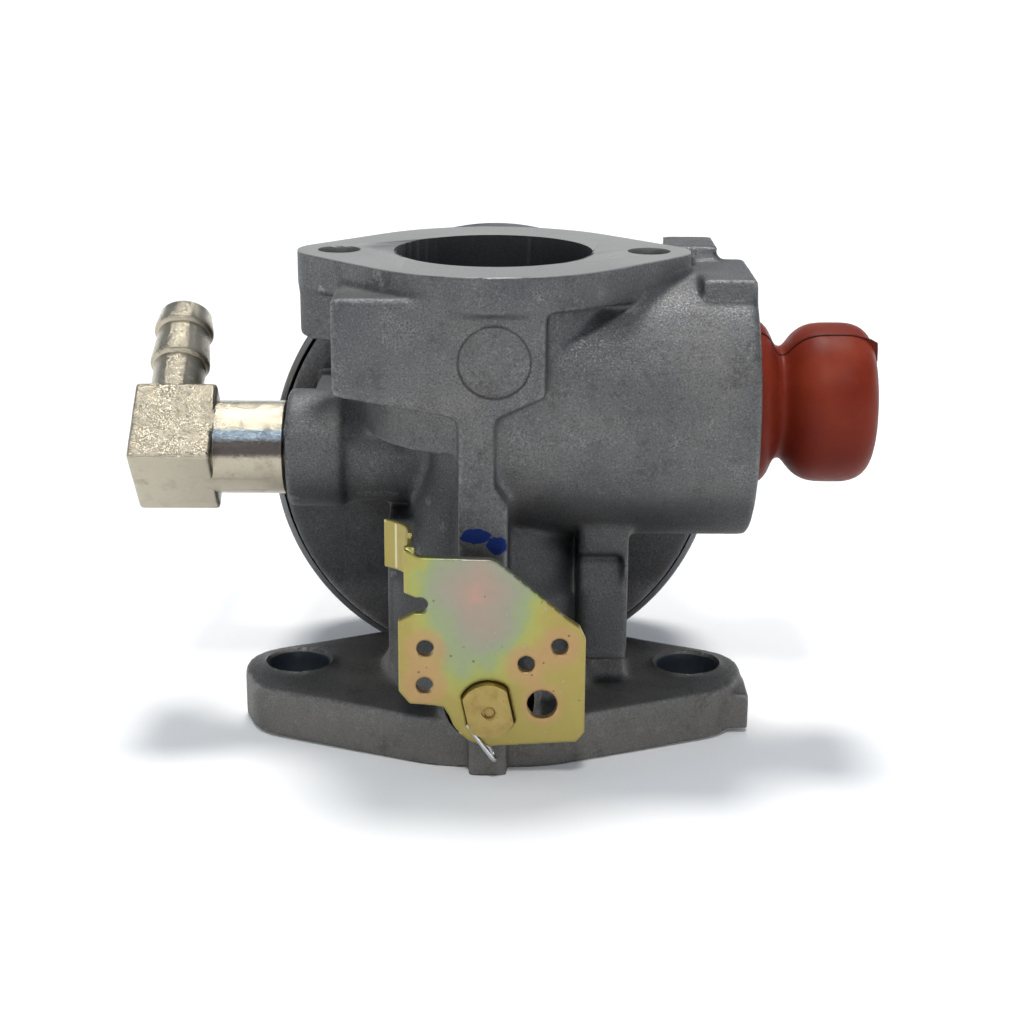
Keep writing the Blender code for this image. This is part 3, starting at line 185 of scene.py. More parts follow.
# %% One material
class Finish:
    """One Principled material. Constants go straight on its sockets; signals come in by name."""

    def __init__(self, name, **constants):
        self.material = bpy.data.materials.new(name)
        self.material.use_nodes = True
        self.tree = self.material.node_tree
        self.tree.nodes.clear()
        self.shader = self.node("BsdfPrincipled", {}, {})
        output = self.node("OutputMaterial", {}, {})
        self.tree.links.new(self.shader.outputs[0], output.inputs[0])
        self.wear(**constants)

    def node(self, kind, settings, sockets):
        """Adds a node: its settings are set first, then its sockets get values or links."""
        made = self.tree.nodes.new("ShaderNode" + kind)
        for key, value in settings.items():
            if key == "stops":
                self.fill_ramp(made.color_ramp, value)
            else:
                setattr(made, key, value)
        for key, value in sockets.items():
            self.plug(made.inputs[key], value)
        return made

    def fill_ramp(self, ramp, stops):
        """Gives a colour ramp its stops: a position and a colour each."""
        while len(ramp.elements) < len(stops):
            ramp.elements.new(1.0)
        for element, (position, colour) in zip(ramp.elements, stops):
            element.position = position
            element.color = (*colour, 1.0)

    def plug(self, socket, value):
        """Links a signal to a socket, or sets the socket to a number or colour."""
        if isinstance(value, Signal):
            self.tree.links.new(value.socket, socket)
        elif socket.type == "RGBA" and len(value) == 3:
            socket.default_value = (*value, 1.0)
        else:
            socket.default_value = value

    def wear(self, **values):
        """Sets sockets of the shader, such as base_color or roughness, to a value or a signal."""
        for key, value in values.items():
            self.plug(self.shader.inputs[key.replace("_", " ").title()], value)
        return self

    def place_signal(self, centre=(0, 0, 0), scale=(1, 1, 1), turn=(0, 0, 0)):
        """Object coordinates measured from a centre, then turned and stretched."""
        coordinates = self.node("TexCoord", {}, {})
        moved = self.node(
            "Mapping",
            {"vector_type": "POINT"},
            {
                "Vector": Signal(self, coordinates.outputs["Object"]),
                "Location": tuple(-value for value in centre),
            },
        )
        shaped = self.node(
            "Mapping",
            {"vector_type": "POINT"},
            {
                "Vector": Signal(self, moved.outputs[0]),
                "Rotation": turn,
                "Scale": scale,
            },
        )
        return Signal(self, shaped.outputs[0])

    def axes(self, vector):
        """The three parts of a vector."""
        split = self.node("SeparateXYZ", {}, {0: vector})
        return [Signal(self, output) for output in split.outputs]

    def facing(self):
        """The surface's own normal in object space, as three signals."""
        coordinates = self.node("TexCoord", {}, {})
        return self.axes(Signal(self, coordinates.outputs["Normal"]))

    def noise(self, grain, detail=2.0, roughness=0.5, vector=None):
        """Cloudy noise whose blotches are about one grain wide, in metres."""
        made = self.node(
            "TexNoise",
            {},
            {
                "Vector": vector or self.place_signal(),
                "Scale": 1.0 / grain,
                "Detail": detail,
                "Roughness": roughness,
            },
        )
        return Signal(self, made.outputs["Fac"])

    def cells(self, grain):
        """Distance to the nearest of scattered points one grain apart."""
        made = self.node(
            "TexVoronoi",
            {"feature": "F1"},
            {"Vector": self.place_signal(), "Scale": 1.0 / grain},
        )
        return Signal(self, made.outputs["Distance"])

    def fade(self, value, low, high, start=0.0, end=1.0):
        """A smooth ramp from start to end as value goes from low to high."""
        made = self.node(
            "MapRange",
            {"interpolation_type": "SMOOTHSTEP"},
            {
                "Value": value,
                "From Min": low,
                "From Max": high,
                "To Min": start,
                "To Max": end,
            },
        )
        return Signal(self, made.outputs[0])

    def distance(self, vector):
        """How long a vector is."""
        made = self.node("VectorMath", {"operation": "LENGTH"}, {0: vector})
        return Signal(self, made.outputs["Value"])

    def ramp(self, value, stops):
        """A colour looked up along stops of a position and a colour."""
        made = self.node("ValToRGB", {"stops": stops}, {0: value})
        return Signal(self, made.outputs["Color"])

    def mix(self, factor, first, second):
        """The first colour where the factor is 0, the second where it is 1."""
        made = self.node(
            "Mix",
            {"data_type": "RGBA", "blend_type": "MIX"},
            {0: factor, 6: first, 7: second},
        )
        return Signal(self, made.outputs[2])

    def bump(self, height, distance, strength=1.0):
        """A normal that leans as if the surface rose by height times distance."""
        sockets = {"Height": height, "Distance": distance, "Strength": strength}
        made = self.node("Bump", {}, sockets)
        return Signal(self, made.outputs["Normal"])

    def edges(self):
        """About 0.5 on flat stretches, more on outer corners and less in inner ones."""
        made = self.node("NewGeometry", {}, {})
        return Signal(self, made.outputs["Pointiness"])


print("shader helpers:", [name for name in vars(Finish) if not name.startswith("_")])

# %% [markdown]
# ## Cast aluminium
#
# A die casting leaves the tool with a fine, slightly sparkling skin: grey with a cool cast where it is fresh,
# browner low down, with cloudy patches where the metal chilled. Faces and bores that are cut later are
# lighter and smoother; here the bores and stud holes then get painted shade. Masks come from the place and the
# facing of each point, so nothing is painted by hand.


# %% Masks for the cut faces
def cut_faces(finish):
    """Five masks, 1 on what a tool cut and 0 on the cast skin."""
    _, _, z = finish.axes(finish.place_signal(ORIGIN))
    _, _, up = finish.facing()
    walls = abs(up) < 0.7
    top = z > (HEIGHT - 0.1) * MM
    foot = (z < 0.1 * MM) * (up < -0.9)
    off_axis = finish.place_signal(ORIGIN, (1, 1, 0))
    bore = (finish.distance(off_axis) < 11.6 * MM) * (abs(up) < 0.9)
    inside = bore * ((z > 45.0 * MM) + (z < 19.6 * MM))
    studs, screws = top * 0, top * 0
    for side in (-1, 1):
        stud = finish.place_signal(place(side * STUD_X, 0, 0), (1, 1, 0))
        studs = studs + (finish.distance(stud) < 3.85 * MM) * (z < 6.0 * MM) * walls
        screw = finish.place_signal(place(side * SCREW_X, 0, 0), (1, 1, 0))
        screws = screws + (finish.distance(screw) < 2.65 * MM) * (z > 46.0 * MM) * walls
    return top, foot, inside, studs, screws


print("masks for the top and engine faces, the bore, the stud holes and the screw holes")

# %% [markdown]
# The skin is layered as it came about: clouds from the cooling metal first, then grain with painted glints, rubbed
# corners that also carry a painted highlight, and painted shade in the hollows, then dirt and stains, and painted
# shade under the primer's overhang. The cuts come last, because a tool removes all that was there before.


# %% The casting's finish
CLOUD_GREYS = [
    (0.30, (0.100, 0.101, 0.106)),
    (0.50, (0.130, 0.131, 0.133)),
    (0.70, (0.170, 0.167, 0.162)),
]
EJECTOR_RADIUS = 4.0


def cast_finish():
    """Grey cast skin, with its cut faces lighter, painted glints, highlights and shade, and painted shade in its
    bores.
    """
    finish = Finish("cast_aluminium_skin", metallic=0.85)
    top, foot, inside, studs, screws = cut_faces(finish)
    cut = finish.fade(top + foot + inside + studs + screws, 0.0, 0.5)
    clouds = finish.noise(0.011, 3.0, 0.55)
    patches = finish.noise(0.0035, 3.0, 0.6)
    grain = finish.noise(0.00022, 2.0, 0.7)
    flecks = finish.noise(0.00042, 1.0, 0.5)
    base = finish.ramp(clouds, CLOUD_GREYS)
    dull = finish.fade(patches, 0.48, 0.72)
    base = finish.mix(dull * 0.35, base, (0.105, 0.102, 0.100))
    # Light flecks: partly the skin's own grain, partly painted glints.
    bright = finish.fade(grain, 0.58, 0.72)
    base = finish.mix(bright * 0.26, base, (0.36, 0.36, 0.36))
    dark = finish.fade(grain, 0.44, 0.30)
    base = finish.mix(dark * 0.55, base, (0.050, 0.050, 0.052))
    mark = finish.distance(finish.place_signal(EJECTOR_AXIS, (1, 0, 1)))
    skin = (1.0 - cut) * (mark > (EJECTOR_RADIUS + 0.6) * MM)
    # Outer corners lighter: partly rubbed wear, partly a painted highlight.
    edge_wear_and_highlight = finish.fade(finish.edges(), 0.515, 0.56) * skin
    base = finish.mix(edge_wear_and_highlight * finish.fade(flecks, 0.35, 0.60) * 0.5, base, (0.38, 0.38, 0.38))
    # Painted shade in the inner corners and creases of the skin.
    hollow = finish.fade(finish.edges(), 0.485, 0.44) * skin
    base = finish.mix(hollow * 0.6, base, (0.045, 0.044, 0.044))
    _, y, z = finish.axes(finish.place_signal(ORIGIN))
    low = finish.fade(z, 12 * MM, 1 * MM)
    base = finish.mix(low * 0.55, base, (0.185, 0.172, 0.150))
    stains = finish.noise(0.0048, 4.0, 0.7)
    crumbs = finish.fade(finish.noise(0.0007, 3.0, 0.7), 0.38, 0.62)
    dirt = finish.fade(stains, 0.50, 0.68) * crumbs
    base = finish.mix(dirt * 0.50, base, (0.062, 0.054, 0.046))
    rubbed = finish.fade(stains, 0.46, 0.33) * finish.fade(grain, 0.40, 0.60)
    base = finish.mix(rubbed * 0.30, base, (0.27, 0.27, 0.27))
    rim = finish.fade(abs(mark - EJECTOR_RADIUS * MM), 0.20 * MM, 0.06 * MM)
    rim = rim * finish.fade(y, -14 * MM, -15 * MM)
    base = finish.mix(rim * 0.55, base, (0.040, 0.040, 0.042))
    # Painted shade on the waist under the primer's overhang, behind the front faces.
    waist = finish.fade(z, 37 * MM, 26 * MM) * finish.fade(z, 9.4 * MM, 12 * MM)
    painted_overhang_shade = waist * finish.fade(y, -14.5 * MM, -12.5 * MM)
    base = finish.mix(painted_overhang_shade * 0.55, base, (0.038, 0.038, 0.040))
    base = finish.mix(cut * 0.90, base, (0.37, 0.37, 0.355))
    # Painted shade inside the bores.
    base = finish.mix(finish.fade(inside, 0.0, 0.5) * 0.90, base, (0.028, 0.031, 0.036))
    # Painted shade inside the engine stud holes, with a bluish tint.
    base = finish.mix(finish.fade(studs, 0.0, 0.5) * 0.92, base, (0.060, 0.078, 0.105))
    base = paint_marks(finish, base)
    rough = finish.fade(clouds, 0.3, 0.7, 0.50, 0.62) + finish.fade(grain, 0.4, 0.7, 0.08, -0.10)
    rough = rough - cut * 0.08 + finish.fade(inside, 0.0, 0.5) * 0.25
    pebbles = finish.noise(0.00030, 3.0, 0.65)
    relief = (1.0 - cut) * pebbles + (1.0 - cut) * patches * 0.5
    normal = finish.bump(relief, 0.00011, 0.55)
    return finish.wear(base_color=base, roughness=rough, normal=normal)


print("cast skin in", len(CLOUD_GREYS), "greys")


# %% Two dabs of blue paint on the rib
BLUE_DABS = [
    ((-1.84, 0, 27.7), 2.0, 0.20, 1.7),
    ((0.56, 0, 26.6), 1.0, 0.40, 1.05),
]


def paint_marks(finish, base):
    """Inspection paint: dabs of (centre, stretch, tilt, size in mm) on the front of the rib."""
    wobble = finish.noise(0.0009, 2.0, 0.5) * 0.0011
    _, y, _ = finish.axes(finish.place_signal(ORIGIN))
    front = y < -10.0 * MM
    paint = front * 0
    for centre, stretch, tilt, size in BLUE_DABS:
        spot = finish.place_signal(place(*centre), (1.0, 0.0, stretch), (0, tilt, 0))
        gap = finish.distance(spot) + wobble
        paint = paint + finish.fade(gap, (size + 0.75) * MM, (size + 0.45) * MM)
    paint = finish.fade(paint * front, 0.0, 1.0)
    return finish.mix(paint, base, (0.008, 0.024, 0.13))


casting_skin = cast_finish()
print("cast finish has", len(casting_skin.tree.nodes), "nodes")

# %% [markdown]
# ## From a bmesh to a piece
#
# Each shape starts in a bmesh. These helpers turn it into an object whose place is in its mesh, shade it
# smooth apart from its sharp edges, and bake modifiers so that no live one is left.


# %% Making pieces
def as_object(name, bm, material=None):
    """Links the bmesh as an object at the origin and frees it."""
    mesh = bpy.data.meshes.new(name)
    bm.to_mesh(mesh)
    bm.free()
    made = bpy.data.objects.new(name, mesh)
    bpy.context.scene.collection.objects.link(made)
    if material is not None:
        mesh.materials.append(material)
    return made


def bake(piece, material=None):
    """Applies the piece's modifiers."""
    graph = bpy.context.evaluated_depsgraph_get()
    mesh = bpy.data.meshes.new_from_object(piece.evaluated_get(graph))
    piece.modifiers.clear()
    old, piece.data = piece.data, mesh
    bpy.data.meshes.remove(old)
    mesh.name = piece.name
    if material is not None:
        mesh.materials.clear()
        mesh.materials.append(material)
    return piece


def shade(piece, sharpest=35.0):
    """Smooth shading that breaks where two faces meet at more than so many degrees."""
    for face in piece.data.polygons:
        face.use_smooth = True
    piece.data.set_sharp_from_angle(angle=math.radians(sharpest))
    return piece


def merged(node):
    """A copy of a frame node's mesh, with its loose triangles joined."""
    bm = bmesh.new()
    bm.from_mesh(frame["nodes"][node].data)
    bmesh.ops.remove_doubles(bm, verts=bm.verts[:], dist=2e-6)
    return bm


def modify(piece, kind, **settings):
    """Adds a modifier with its settings."""
    made = piece.modifiers.new(kind.lower(), kind)
    for key, value in settings.items():
        setattr(made, key, value)
    return made


def cut(piece, tool, way="DIFFERENCE", solver="MANIFOLD"):
    """Takes the tool away from the piece, or adds it, and removes the tool."""
    modify(piece, "BOOLEAN", operation=way, solver=solver, object=tool)
    bake(piece)
    bpy.data.objects.remove(tool)
    return piece


print("piece helpers: as_object, bake, shade, merged, modify and cut")

# %% [markdown]
# ## Turned shapes
#
# Anything round comes from one half outline, spun about its axis. The outline is a list of radius and distance
# pairs in millimetres, so it reads like a turner's sketch.


# %% Spinning an outline
def turned(outline, foot, axis, steps=64):
    """A bmesh of the outline, (radius, distance) in mm, spun about an axis through foot."""
    bm = bmesh.new()
    axis = axis.normalized()
    side = axis.orthogonal().normalized()
    points = [foot + side * radius * MM + axis * along * MM for radius, along in outline]
    verts = [bm.verts.new(point) for point in points]
    for first, second in zip(verts, verts[1:]):
        bm.edges.new((first, second))
    bmesh.ops.spin(
        bm,
        geom=bm.verts[:] + bm.edges[:],
        cent=foot,
        axis=axis,
        angle=math.tau,
        steps=steps,
        use_merge=True,
    )
    bmesh.ops.remove_doubles(bm, verts=bm.verts[:], dist=1e-7)
    bmesh.ops.recalc_face_normals(bm, faces=bm.faces[:])
    return bm


def rod(foot, axis, radius, start, end, steps=64):
    """A closed cylinder along an axis through foot, from start to end in mm."""
    return turned([(0, start), (radius, start), (radius, end), (0, end)], foot, axis, steps)


def box_mesh(low, high):
    """A box between two corners in frame metres."""
    bm = bmesh.new()
    size = high - low
    bmesh.ops.create_cube(bm, size=1.0)
    bmesh.ops.scale(bm, vec=size, verts=bm.verts[:])
    bmesh.ops.translate(bm, vec=(low + high) / 2, verts=bm.verts[:])
    return bm


print("shape helpers: turned, rod and box_mesh")

# %% [markdown]
# ## The casting
#
# The frame's casting has the right sizes but knife-sharp corners. A real one is poured into a steel die, so
# every corner has a radius, and only then do drills, reamers and a face mill put sharp rims back. The same
# order works here: fill the holes with stock, let a voxel remesh and some smoothing round everything off, and
# then machine it. The cutters are the frame's own hollows: a plain region less the casting leaves just the air.

# %% Stock for the casting
STOCK = 0.9
VOXEL = 0.40
BORE = [(11.36, 58.0), (11.36, 46.0), (6.5, 33.5), (6.5, 29.5), (9.5, 19.5), (9.5, -1.0)]


def grown(outline, extra):
    """The same outline, a little wider, closed onto its axis at both ends."""
    wider = [(radius + extra, along) for radius, along in outline]
    return [(0, outline[0][1])] + wider + [(0, outline[-1][1])]


def shifted_slice(low, high, move):
    """The part of the casting between two corners, moved to thicken a face that is cut later."""
    piece = as_object("slice", merged("carburetor_body"))
    cut(piece, as_object("slice_region", box_mesh(low, high)), "INTERSECT", "EXACT")
    piece.data.transform(Matrix.Translation(move))
    return piece


def hole_plugs():
    """One plug for every hole that a drill makes later: foot, axis, radius, start and end in mm."""
    holes = [
        (EJECTOR_AXIS, Y, 4.3, -17.0, -15.6),
        (SHAFT_AXIS, Y, 3.8, -17.1, 13.0),
        (SHAFT_AXIS, Y, 5.4, -20.3, -16.0),
        (PLUG_AXIS, X, 3.8, 13.0, 15.8),
        (ELBOW_AXIS, X, 3.8, -24.6, -17.0),
        (BULB_AXIS, X, 10.3, 24.0, 30.3),
    ]
    for side in (-1, 1):
        holes.append((place(side * STUD_X, 0, 0), Z, 4.0, -STOCK, 5.8 + STOCK))
        holes.append((place(side * SCREW_X, 0, 0), Z, 2.8, 46.5, HEIGHT + STOCK))
    return [rod(*hole) for hole in holes]


def joined(name, parts):
    """One object out of several bmeshes and objects."""
    bm = bmesh.new()
    for part in parts:
        if isinstance(part, bpy.types.Object):
            bm.from_mesh(part.data)
            bpy.data.objects.remove(part)
        else:
            mesh = bpy.data.meshes.new("part")
            part.to_mesh(mesh)
            part.free()
            bm.from_mesh(mesh)
            bpy.data.meshes.remove(mesh)
    return as_object(name, bm)


FAR = 60.0
BOWL_FACE = 16.6
SLICE = 1.5
top_slice = shifted_slice(
    place(-FAR, -FAR, HEIGHT - SLICE), place(FAR, FAR, HEIGHT + 1), Z * STOCK * MM
)
foot_slice = shifted_slice(place(-FAR, -FAR, -1), place(FAR, BOWL_FACE, SLICE), Z * -STOCK * MM)
bore_plug = turned(grown(BORE, 0.3), ORIGIN, Z)
casting = joined(
    "casting",
    [merged("carburetor_body"), top_slice, foot_slice, bore_plug] + hole_plugs(),
)
print("casting stock has", len(casting.data.polygons), "faces")

# %% Rounding the corners
modify(casting, "REMESH", mode="VOXEL", voxel_size=VOXEL * MM, adaptivity=0.0)
bake(casting)
print("remeshed:", len(casting.data.polygons), "faces")
modify(casting, "SMOOTH", factor=0.5, iterations=12)
bake(casting)


# %% Machining
def machine(piece, region, name):
    """Cuts the frame's own hollow out of the piece: a region, less the frame's casting."""
    air = as_object(name, region)
    cut(air, as_object("solid_" + name, merged("carburetor_body")), "DIFFERENCE", "EXACT")
    print(name, "has", len(air.data.polygons), "faces")
    return cut(piece, air)


regions = {
    "face_mill": box_mesh(place(-FAR, -FAR, HEIGHT - 0.2), place(FAR, FAR, HEIGHT + 4)),
    "engine_face": box_mesh(place(-FAR, -FAR, -4), place(FAR, BOWL_FACE, 0.2)),
    "screw_hole_left": rod(place(-SCREW_X, 0, 0), Z, 2.9, 46.0, HEIGHT + 1, 32),
    "screw_hole_right": rod(place(SCREW_X, 0, 0), Z, 2.9, 46.0, HEIGHT + 1, 32),
    "stud_hole_left": rod(place(-STUD_X, 0, 0), Z, 4.1, -1, 9.0, 48),
    "stud_hole_right": rod(place(STUD_X, 0, 0), Z, 4.1, -1, 9.0, 48),
    "ejector_mark": rod(EJECTOR_AXIS, Y, 4.2, -20, -16.0, 64),
    "shaft_hole": rod(SHAFT_AXIS, Y, 3.9, -25, 16.0, 48),
    "seal_seat": rod(SHAFT_AXIS, Y, 5.2, -25, -16.8, 48),
    "plug_seat": rod(PLUG_AXIS, X, 3.7, 12, 20, 48),
    "inlet_hole": rod(ELBOW_AXIS, X, 6.2, -30, -17.0, 48),
    "bulb_seat": rod(BULB_AXIS, X, 10.4, 13.0, 31.5, 64),
    "bowl_side": rod(BOWL_AXIS, Y, 29.6, 17.1, 50, 96),
}
cut(casting, as_object("bore", turned(grown(BORE, 0.0), ORIGIN, Z, 96)))
for name, region in regions.items():
    machine(casting, region, name)

# %% [markdown]
# A boolean leaves long thin triangles on the flat faces, and smooth shading would draw them as streaks. Weighted
# normals let the largest face at each corner decide, so that flats look flat and rounded corners stay round.

# %% Shading the casting
shade(casting, 32.0)
modify(casting, "WEIGHTED_NORMAL", mode="FACE_AREA", weight=50, keep_sharp=True)
bake(casting, casting_skin.material)
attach(casting, "casting")
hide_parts("carburetor_body")
triangles = sum(len(face.vertices) - 2 for face in casting.data.polygons)
print("machined casting:", triangles, "triangles")

# %% [markdown]
# ## Plated and bare metals
#
# Plated, stamped and turned pieces share one base: metal with fine brushed or turned lines, small scratches and
# a little dirt. Each one then adds what only it has.


# %% A metal with fine lines
def metal_finish(name, colour, rough, dirt=0.25):
    """Bare metal with a fine grain, faint stains and specks."""
    finish = Finish(name, metallic=1.0)
    stained = finish.fade(finish.noise(0.0026, 4.0, 0.6), 0.50, 0.75)
    brushed = finish.noise(0.00012, 2.0, 0.6)
    specks = finish.fade(finish.cells(0.0011), 0.10, 0.05)
    base = finish.mix(stained * dirt, colour, tuple(value * 0.45 for value in colour))
    base = finish.mix(specks * dirt, base, tuple(value * 0.30 for value in colour))
    roughness = stained * 0.15 + brushed * 0.10 + rough - 0.05
    normal = finish.bump(brushed, 0.000012, 0.5)
    return finish.wear(base_color=base, roughness=roughness, normal=normal)


def softened(node, name, finish, width, segments=2, sharp=30.0):
    """A copy of a frame node with small radii on its corners, which replaces the node."""
    bm = merged(node)
    flat_enough = math.radians(1.0)
    bmesh.ops.dissolve_limit(bm, angle_limit=flat_enough, verts=bm.verts[:], edges=bm.edges[:])
    made = as_object(name, bm, finish.material)
    modify(
        made,
        "BEVEL",
        width=width * MM,
        segments=segments,
        limit_method="ANGLE",
        angle_limit=math.radians(sharp),
        harden_normals=False,
    )
    bake(made, finish.material)
    shade(made, 25.0)
    return stand_for(made, node)


def stand_for(made, node):
    """Rides the new piece on the node's body and lets it replace the node."""
    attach(made, frame["nodes"][node]["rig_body"])
    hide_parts(node)
    print(made.name, "has", len(made.data.polygons), "faces")
    return made


print("metal helpers ready")

# %% [markdown]
# ## The throttle lever
#
# The lever is blanked from sheet steel. Its yellow passivated zinc shimmers: the film is only a few hundred
# nanometres thick, and its colour follows the thickness. A colour ramp makes such bands: pink in the thick
# middle, then grey, green and yellow outwards, and pink again round the holes.

# %% Zinc with thin-film clouding
LEVER_HOLES = [(-7.3, 16.3), (-7.4, 11.9), (3.9, 14.5), (7.6, 16.6), (5.7, 9.7)]
FILM = [
    (0.00, (0.46, 0.27, 0.21)),
    (0.20, (0.34, 0.265, 0.21)),
    (0.42, (0.29, 0.285, 0.21)),
    (0.58, (0.27, 0.32, 0.175)),
    (0.70, (0.33, 0.345, 0.105)),
    (0.84, (0.37, 0.325, 0.095)),
    (1.00, (0.35, 0.285, 0.085)),
]


def zinc_finish():
    """Zinc whose film thins out from the heart of the plate."""
    finish = Finish("yellow_passivated_zinc", metallic=0.75)
    wobble = finish.noise(0.006, 3.0, 0.55) - 0.5
    fine = finish.noise(0.0011, 3.0, 0.6)
    heart = finish.place_signal(place(-1.6, 0, 22.5), (1.15, 0, 0.80))
    thickness = finish.distance(heart) * (1 / (10.5 * MM)) + wobble * 0.75
    base = finish.ramp(thickness, FILM)
    rings = wobble * 0
    for x, z in LEVER_HOLES:
        hole = finish.place_signal(place(x, 0, z), (1, 0, 1))
        gap = finish.distance(hole) + wobble * 0.002
        rings = rings + finish.fade(gap, 3.4 * MM, 1.2 * MM)
    base = finish.mix(finish.fade(rings, 0.0, 1.0) * 0.7, base, (0.43, 0.25, 0.13))
    scuffs = finish.fade(fine, 0.66, 0.74)
    base = finish.mix(scuffs * 0.35, base, (0.45, 0.45, 0.42))
    specks = finish.fade(finish.cells(0.0016), 0.11, 0.07) * finish.fade(fine, 0.40, 0.50)
    base = finish.mix(specks * 0.85, base, (0.10, 0.09, 0.05))
    # Lighter edges: partly rubbed zinc, partly a painted highlight.
    edge = finish.fade(finish.edges(), 0.53, 0.60)
    base = finish.mix(edge * 0.5, base, (0.75, 0.72, 0.60))
    roughness = finish.fade(fine, 0.3, 0.7, 0.36, 0.48) + scuffs * 0.1
    normal = finish.bump(finish.noise(0.00025, 3.0, 0.6), 0.00001, 0.5)
    return finish.wear(base_color=base, roughness=roughness, normal=normal)


print("film of", len(FILM), "colours round", len(LEVER_HOLES), "holes")

# %% [markdown]
# The frame's lever has its tab folded with sharp bends. The real tab is bent in one easy curve, so the old one is
# cut off and a new strip follows a path seen from above. The governor link's notch is cut in the same go. A fine
# voxel remesh then melts plate and tab together and rolls all edges over a little, as blanking does.


# %% Strips of sheet
def eased(path, rounds=3):
    """Cuts the corners of a path again and again, until it reads as a curve."""
    for _ in range(rounds):
        softer = [path[0]]
        for (x, y), (next_x, next_y) in zip(path, path[1:]):
            for share in (0.25, 0.75):
                softer.append((x + (next_x - x) * share, y + (next_y - y) * share))
        path = softer + [path[-1]]
    return path


def ribbon(path, low, high, thickness):
    """A strip of sheet on edge: a path seen from above, given height and thickness."""
    bm = bmesh.new()
    rows = [(bm.verts.new(place(x, y, low)), bm.verts.new(place(x, y, high))) for x, y in path]
    for (foot, head), (next_foot, next_head) in zip(rows, rows[1:]):
        bm.faces.new((foot, next_foot, next_head, head))
    bmesh.ops.recalc_face_normals(bm, faces=bm.faces[:])
    bmesh.ops.solidify(bm, geom=bm.faces[:], thickness=-thickness / 2 * MM)
    bmesh.ops.recalc_face_normals(bm, faces=bm.faces[:])
    return bm


print("strip helpers: eased and ribbon")

# %% Lever
PLATE_BACK = -21.19
NOTCH_X, NOTCH_Z, NOTCH_RADIUS = -7.85, 21.35, 0.92
TAB_SHEET = 1.1
TAB_PATH = [
    (-8.75, -21.6),
    (-8.8, -19.5),
    (-8.85, -17.6),
    (-9.15, -16.2),
    (-9.9, -15.0),
    (-11.0, -13.9),
    (-12.0, -13.2),
]
WIDE_FROM = 14
blank = as_object("blank", merged("throttle_lever"))
notch = rod(place(NOTCH_X, -24, NOTCH_Z), Y, NOTCH_RADIUS, 0, 5, 32)
notch_mouth = box_mesh(place(-12, -24, NOTCH_Z - 0.90), place(NOTCH_X, -19, NOTCH_Z + 0.85))
for name, tool in (
    ("old_tab", box_mesh(place(-20, PLATE_BACK, 20), place(0, 0, 40))),
    ("notch", notch),
    ("notch_mouth", notch_mouth),
):
    cut(blank, as_object(name, tool), "DIFFERENCE", "EXACT")
tab_curve = eased(TAB_PATH)
tab_neck = ribbon(tab_curve, 22.9, 28.0, TAB_SHEET)
tab_end = ribbon(tab_curve[WIDE_FROM:], 23.9, 28.6, TAB_SHEET)
lever = joined("lever", [blank, tab_neck, tab_end])
modify(lever, "REMESH", mode="VOXEL", voxel_size=0.14 * MM)
bake(lever)
modify(lever, "SMOOTH", factor=0.5, iterations=4)
bake(lever, zinc_finish().material)
shade(lever, 60.0)
stand_for(lever, "throttle_lever")

# %% [markdown]
# ## Shaft, screw, plate and the small turned parts
#
# These are right as they stand in the frame, apart from their corners: a lathe or a press never leaves a knife
# edge. A short bevel catches the light along each rim. The dimple of the centre punch on the shaft's end is
# drawn in its finish, because it is only a tenth of a millimetre deep.


# %% Brass shaft
def brass_finish():
    """Turned brass, a little tarnished, with the ring of a centre punch on the shaft's end."""
    finish = Finish("turned_brass", metallic=0.9)
    mark = finish.distance(finish.place_signal(place(-0.1, 0, 8.9), (1, 0, 1)))
    ring = finish.fade(abs(mark - 0.62 * MM), 0.16 * MM, 0.04 * MM)
    lines = finish.noise(0.00010, 2.0, 0.6)
    tarnish = finish.fade(finish.noise(0.0019, 3.0, 0.6), 0.45, 0.75)
    base = finish.mix(tarnish * 0.45, (0.36, 0.27, 0.095), (0.24, 0.16, 0.05))
    base = finish.mix(ring * 0.6, base, (0.22, 0.14, 0.05))
    specks = finish.fade(finish.cells(0.0009), 0.10, 0.05)
    base = finish.mix(specks * 0.8, base, (0.10, 0.07, 0.03))
    normal = finish.bump(lines * 0.2 - ring, 0.00006, 0.6)
    return finish.wear(base_color=base, roughness=tarnish * 0.15 + 0.33, normal=normal)


brass = brass_finish()
steel = metal_finish("bright_steel", (0.56, 0.56, 0.57), 0.28)
plug_metal = metal_finish("pressed_aluminium", (0.58, 0.58, 0.60), 0.32, dirt=0.35)
softened("throttle_shaft", "shaft", brass, 0.12)
softened("throttle_plate", "butterfly", brass, 0.08)
softened("throttle_plate_screw", "butterfly_screw", steel, 0.06)
softened("bowl_nut", "hollow_nut", brass, 0.25, 3)
softened("main_nozzle", "nozzle", brass, 0.06)
softened("inlet_needle", "needle", brass, 0.05)
softened("seat_retainer", "retainer", brass, 0.06)
softened("float_hinge_pin", "hinge_pin", steel, 0.08)
softened("shaft_washer", "washer", steel, 0.04)
softened("idle_chamber_plug", "soft_plug", plug_metal, 0.15)


# %% Rubber, fibre and plastic
def moulded_finish(name, colour, rough, grain=0.0004, depth=0.00002):
    """A moulded surface: faint blotches, dust and a fine texture."""
    finish = Finish(name, metallic=0.0)
    blotches = finish.noise(0.004, 3.0, 0.6)
    dust = finish.fade(finish.noise(0.0008, 3.0, 0.6), 0.60, 0.75)
    pale = tuple(value * 1.35 for value in colour)
    base = finish.mix(finish.fade(blotches, 0.35, 0.65), colour, pale)
    base = finish.mix(dust * 0.12, base, (0.35, 0.33, 0.30))
    texture = finish.noise(grain, 3.0, 0.6)
    normal = finish.bump(texture, depth, 0.5)
    return finish.wear(base_color=base, roughness=texture * 0.15 + rough, normal=normal)


